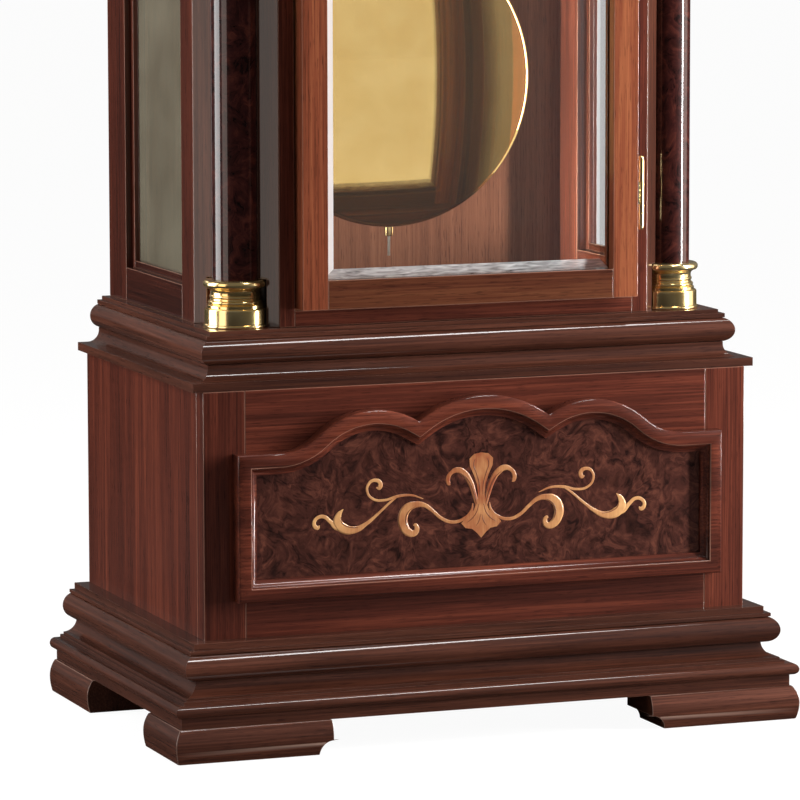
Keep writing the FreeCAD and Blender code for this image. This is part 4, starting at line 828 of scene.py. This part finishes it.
# Hands: pierced spade hands, sawn from steel sheet, polished and blued by heat. The hour hand is fixed
# on its pipe, the minute hand on the centre arbor. They look almost black, with a gloss.
blued_steel = steel("blued_steel", "#14161f", "#232838", bright=0.22)
for node in ("hour_hand", "minute_hand"):
    dressed(node, blued_steel, edge=0.0003)

# Pendulum: a drawn steel rod, a big bob spun from thin brass with a rolled rim and polished to a mirror,
# and a knurled brass rating nut on the rod's thread.
# A clear golden mirror, on a rod of soft grey
bob_brass = brass("spun_brass", "#dcb76c", "#e2bf76", dull=0.05, bright=0.03, marks=0, mirror=0.8)
bob_low, bob_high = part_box("pendulum_bob")
bob_middle = ((bob_low.x + bob_high.x) / 2, bob_low.y, (bob_low.z + bob_high.z) / 2)
bob_radius = (bob_high.x - bob_low.x) / 2
bob_deep = (bob_high.y - bob_low.y) * 1000
drawn_steel = steel("drawn_steel", "#b3aea2", "#cbc6ba", bright=0.34)
dressed("pendulum_rod", drawn_steel, edge=0.0004)


def bob():
    """A shallow dome, drawn as a ball of large radius, with a rolled rim and a flat back."""
    sag, rim = 9.8, 4
    dome_steps, rim_steps = 40, 10
    reach = bob_radius * 1000 - rim
    ball = (reach ** 2 + sag ** 2) / (2 * sag)
    radii = [reach * step / dome_steps for step in range(dome_steps + 1)]
    profile = [(radius, ball - math.sqrt(ball ** 2 - radius ** 2)) for radius in radii]
    for step in range(1, rim_steps + 1):
        angle = step * math.pi / rim_steps
        profile.append((reach + rim * math.sin(angle), sag + rim - rim * math.cos(angle)))
    profile.append((0, bob_deep))
    return turned("bob", profile, bob_middle, axis="Y", steps=128)


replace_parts(together([bob()], "spun_bob", bob_brass, "pendulum"), "pendulum_bob")
dressed("rating_nut", polished_brass, edge=0.0003)

# Weights and lines: polished brass shells filled with lead, hung by hooks on steel lines of three
# strands, which wind on the barrels. The wire is a dull grey.
for node in ("going_weight", "strike_weight"):
    dressed(node, polished_brass, edge=0.0004)
line_steel = steel("line_wire", "#77756f", "#a19e96", bright=0.35)
lay_pitch = 0.009


def stranded_wire(name, radius, long):
    """A wire of three strands laid round each other, run up from its foot at the origin."""
    strand_radius = radius / (1 + 2 / math.sqrt(3))
    turns, steps_per_turn = round(long / lay_pitch), 12
    middle = (radius - strand_radius, 0, 0)
    bpy.ops.object.select_all(action="DESELECT")
    bpy.ops.mesh.primitive_circle_add(vertices=8, radius=strand_radius, location=middle)
    bpy.ops.object.transform_apply(location=True)
    wire = bpy.context.object
    wire.name = name
    bpy.ops.object.mode_set(mode="EDIT")
    for _ in range(2):
        bpy.ops.mesh.duplicate()
        bpy.ops.transform.rotate(value=math.tau / 3, orient_axis="Z", center_override=(0, 0, 0))
    bpy.ops.object.mode_set(mode="OBJECT")
    lay = wire.modifiers.new("lay", "SCREW")
    lay.axis = "Z"
    lay.screw_offset = long
    lay.angle = math.tau * turns
    lay.steps = lay.render_steps = steps_per_turn * turns
    bpy.ops.object.modifier_apply(modifier=lay.name)
    bpy.ops.object.mode_set(mode="EDIT")
    bpy.ops.mesh.select_all(action="SELECT")
    bpy.ops.mesh.fill_holes(sides=0)
    bpy.ops.mesh.normals_make_consistent(inside=False)
    bpy.ops.object.mode_set(mode="OBJECT")
    bpy.ops.object.shade_smooth_by_angle(angle=math.radians(60))
    return wire


for name in ("going", "strike"):
    low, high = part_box(name + "_line")
    middle_x, middle_y = (low.x + high.x) / 2, (low.y + high.y) / 2
    top, foot = (middle_x, middle_y, high.z), (middle_x, middle_y, low.z)
    wire = stranded_wire(name + "_wire", (high.x - low.x) / 2, high.z - low.z)
    wire.data.transform(Matrix.Translation(foot))
    wire.data.materials.append(line_steel)
    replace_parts(wire, name + "_line")
    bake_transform(wire)

# Room: a plain pale floor and a white surround. A tall lamp stands at the right, a broad one at the left
# and a strip overhead, a small one inside lights the side frames alone, and three warm cards show only
# in polished faces. The camera has the photograph's place and lens.


def by_ray(tree, seen, seen_through, mirrored, mirrored_through, lit):
    """A level for each kind of ray: seen or mirrored, straight or through two panes of glass, or lighting."""
    past_one_pane = 2.5
    path = add(tree, "LightPath").outputs
    crossed = path["Transparent Depth"]
    panes = add(tree, "Math", {0: crossed, 1: past_one_pane}, operation="GREATER_THAN").outputs[0]
    eye = add(tree, "Mix", {0: panes, 2: seen, 3: seen_through}).outputs[0]
    mirror = add(tree, "Mix", {0: panes, 2: mirrored, 3: mirrored_through}).outputs[0]
    unseen = add(tree, "Mix", {0: path["Is Glossy Ray"], 2: lit, 3: mirror}).outputs[0]
    return add(tree, "Mix", {0: path["Is Camera Ray"], 2: unseen, 3: eye}).outputs[0]


def studio_floor():
    """A pale floor that fades into white, kept dark in the lacquer's reflections as black cards do."""
    cloud_mm = 1430
    bpy.ops.object.select_all(action="DESELECT")
    bpy.ops.mesh.primitive_plane_add(size=60)
    floor = bpy.context.object
    floor.name = "studio_floor"
    finish, tree, shader = new_finish("pale_floor")
    place = add(tree, "TexCoord").outputs["Object"]
    cloud = add(tree, "TexNoise", {"Vector": place, "Scale": 1000 / cloud_mm}).outputs[0]
    colour = add(tree, "ValToRGB", {0: cloud}, stops=[(0.3, linear("#f1f0ee")), (0.7, linear("#f6f5f3"))])
    shade = by_ray(tree, seen=0.1, seen_through=0.1, mirrored=0.04, mirrored_through=0.1, lit=0.4)
    shaded = add(tree, "Mix", {0: 1, 6: colour.outputs[0], 7: shade}, data_type="RGBA", blend_type="MULTIPLY")
    tree.links.new(shaded.outputs[2], shader.inputs["Base Color"])
    glow = by_ray(tree, seen=0.95, seen_through=0.8, mirrored=0, mirrored_through=1.1, lit=0)
    tree.links.new(glow, shader.inputs["Emission Strength"])
    shader.inputs["Emission Color"].default_value = (1, 1, 1, 1)
    shader.inputs["Roughness"].default_value = 0.9
    shader.inputs["Specular IOR Level"].default_value = 0
    floor.data.materials.append(finish)


def surround_light():
    """A white studio: white to the eye, greyer through glass, bright in the bob behind it, dim in lacquer."""
    world = bpy.data.worlds.new("studio")
    world.use_nodes = True
    bpy.context.scene.world = world
    back = world.node_tree.nodes["Background"]
    level = by_ray(world.node_tree, seen=1, seen_through=0.8, mirrored=0.12, mirrored_through=1.08, lit=0.22)
    world.node_tree.links.new(level, back.inputs["Strength"])
    back.inputs["Color"].default_value = (1, 0.99, 0.975, 1)


def softbox(name, place, target, wide, tall, power):
    """A soft lamp of a width and height that faces its target and is not seen itself."""
    lamp = bpy.data.lights.new(name, "AREA")
    lamp.shape = "RECTANGLE"
    lamp.size = wide
    lamp.size_y = tall
    lamp.energy = power
    light = bpy.data.objects.new(name, lamp)
    bpy.context.collection.objects.link(light)
    light.location = place
    light.rotation_euler = (Vector(target) - Vector(place)).to_track_quat("-Z", "Y").to_euler()
    light.visible_camera = False
    return light


def photo_camera():
    """The camera where the photograph was taken, worked out from the straight edges of the case."""
    place = (-1.57904, -4.12352, 0.84531)
    heading, pitch, roll = math.radians(20.741), math.radians(7.394), math.radians(-0.103)
    ahead, aside = math.cos(heading) * math.cos(pitch), math.sin(heading) * math.cos(pitch)
    sight = Vector((aside, ahead, -math.sin(pitch)))
    right = Vector((math.cos(heading), -math.sin(heading), 0))
    up = right.cross(sight)
    level_right = right * math.cos(roll) + up * math.sin(roll)
    level_up = up * math.cos(roll) - right * math.sin(roll)
    lens = bpy.data.cameras.new("photo_camera")
    lens.lens = 227.94
    lens.sensor_width = 36
    lens.sensor_fit = "HORIZONTAL"
    camera = bpy.data.objects.new("photo_camera", lens)
    bpy.context.collection.objects.link(camera)
    turn = Matrix((level_right, level_up, -sight)).transposed().to_4x4()
    camera.matrix_world = Matrix.Translation(place) @ turn
    bpy.context.scene.camera = camera


studio_floor()
surround_light()
softbox("key_right", (1.6, -0.88, 0.8), (0, -0.1, 0.8), wide=0.14, tall=1.5, power=75)
softbox("side_left", (-1.5, 0.45, 0.9), (0, 0, 0.9), wide=0.9, tall=1.7, power=34)
softbox("overhead", (0.85, -0.6, 2.6), (0, -0.15, 0.2), wide=1.5, tall=0.22, power=26)
inner = softbox("inner_left", (-0.18, 0.06, 0.6), (0.2, 0.06, 0.6), wide=0.04, tall=0.7, power=7)
inner.data.color = (0.8, 1, 1)
inner.data.spread = math.radians(60)
lit_inside = bpy.data.collections.new("lit_inside")
lit_inside.objects.link(bpy.data.objects["finished_trunk_side_frames"])
inner.light_linking.receiver_collection = lit_inside
inner.visible_glossy = False
card_watts_per_area = 6.5
for name, place, wide, tall in (("card_left", (-1.75, -0.72, 0.95), 0.8, 1.9),
                                ("card_right", (1.85, -0.5, 0.95), 1.3, 1.9),
                                ("card_back", (-0.7, 2.6, 1.65), 2.6, 0.5)):
    card = softbox(name, place, (0, 0, place[2]), wide, tall, power=wide * tall * card_watts_per_area)
    card.data.color = (1, 0.86, 0.77)
    card.visible_diffuse = False
photo_camera()
bpy.context.scene.view_settings.view_transform = "Standard"
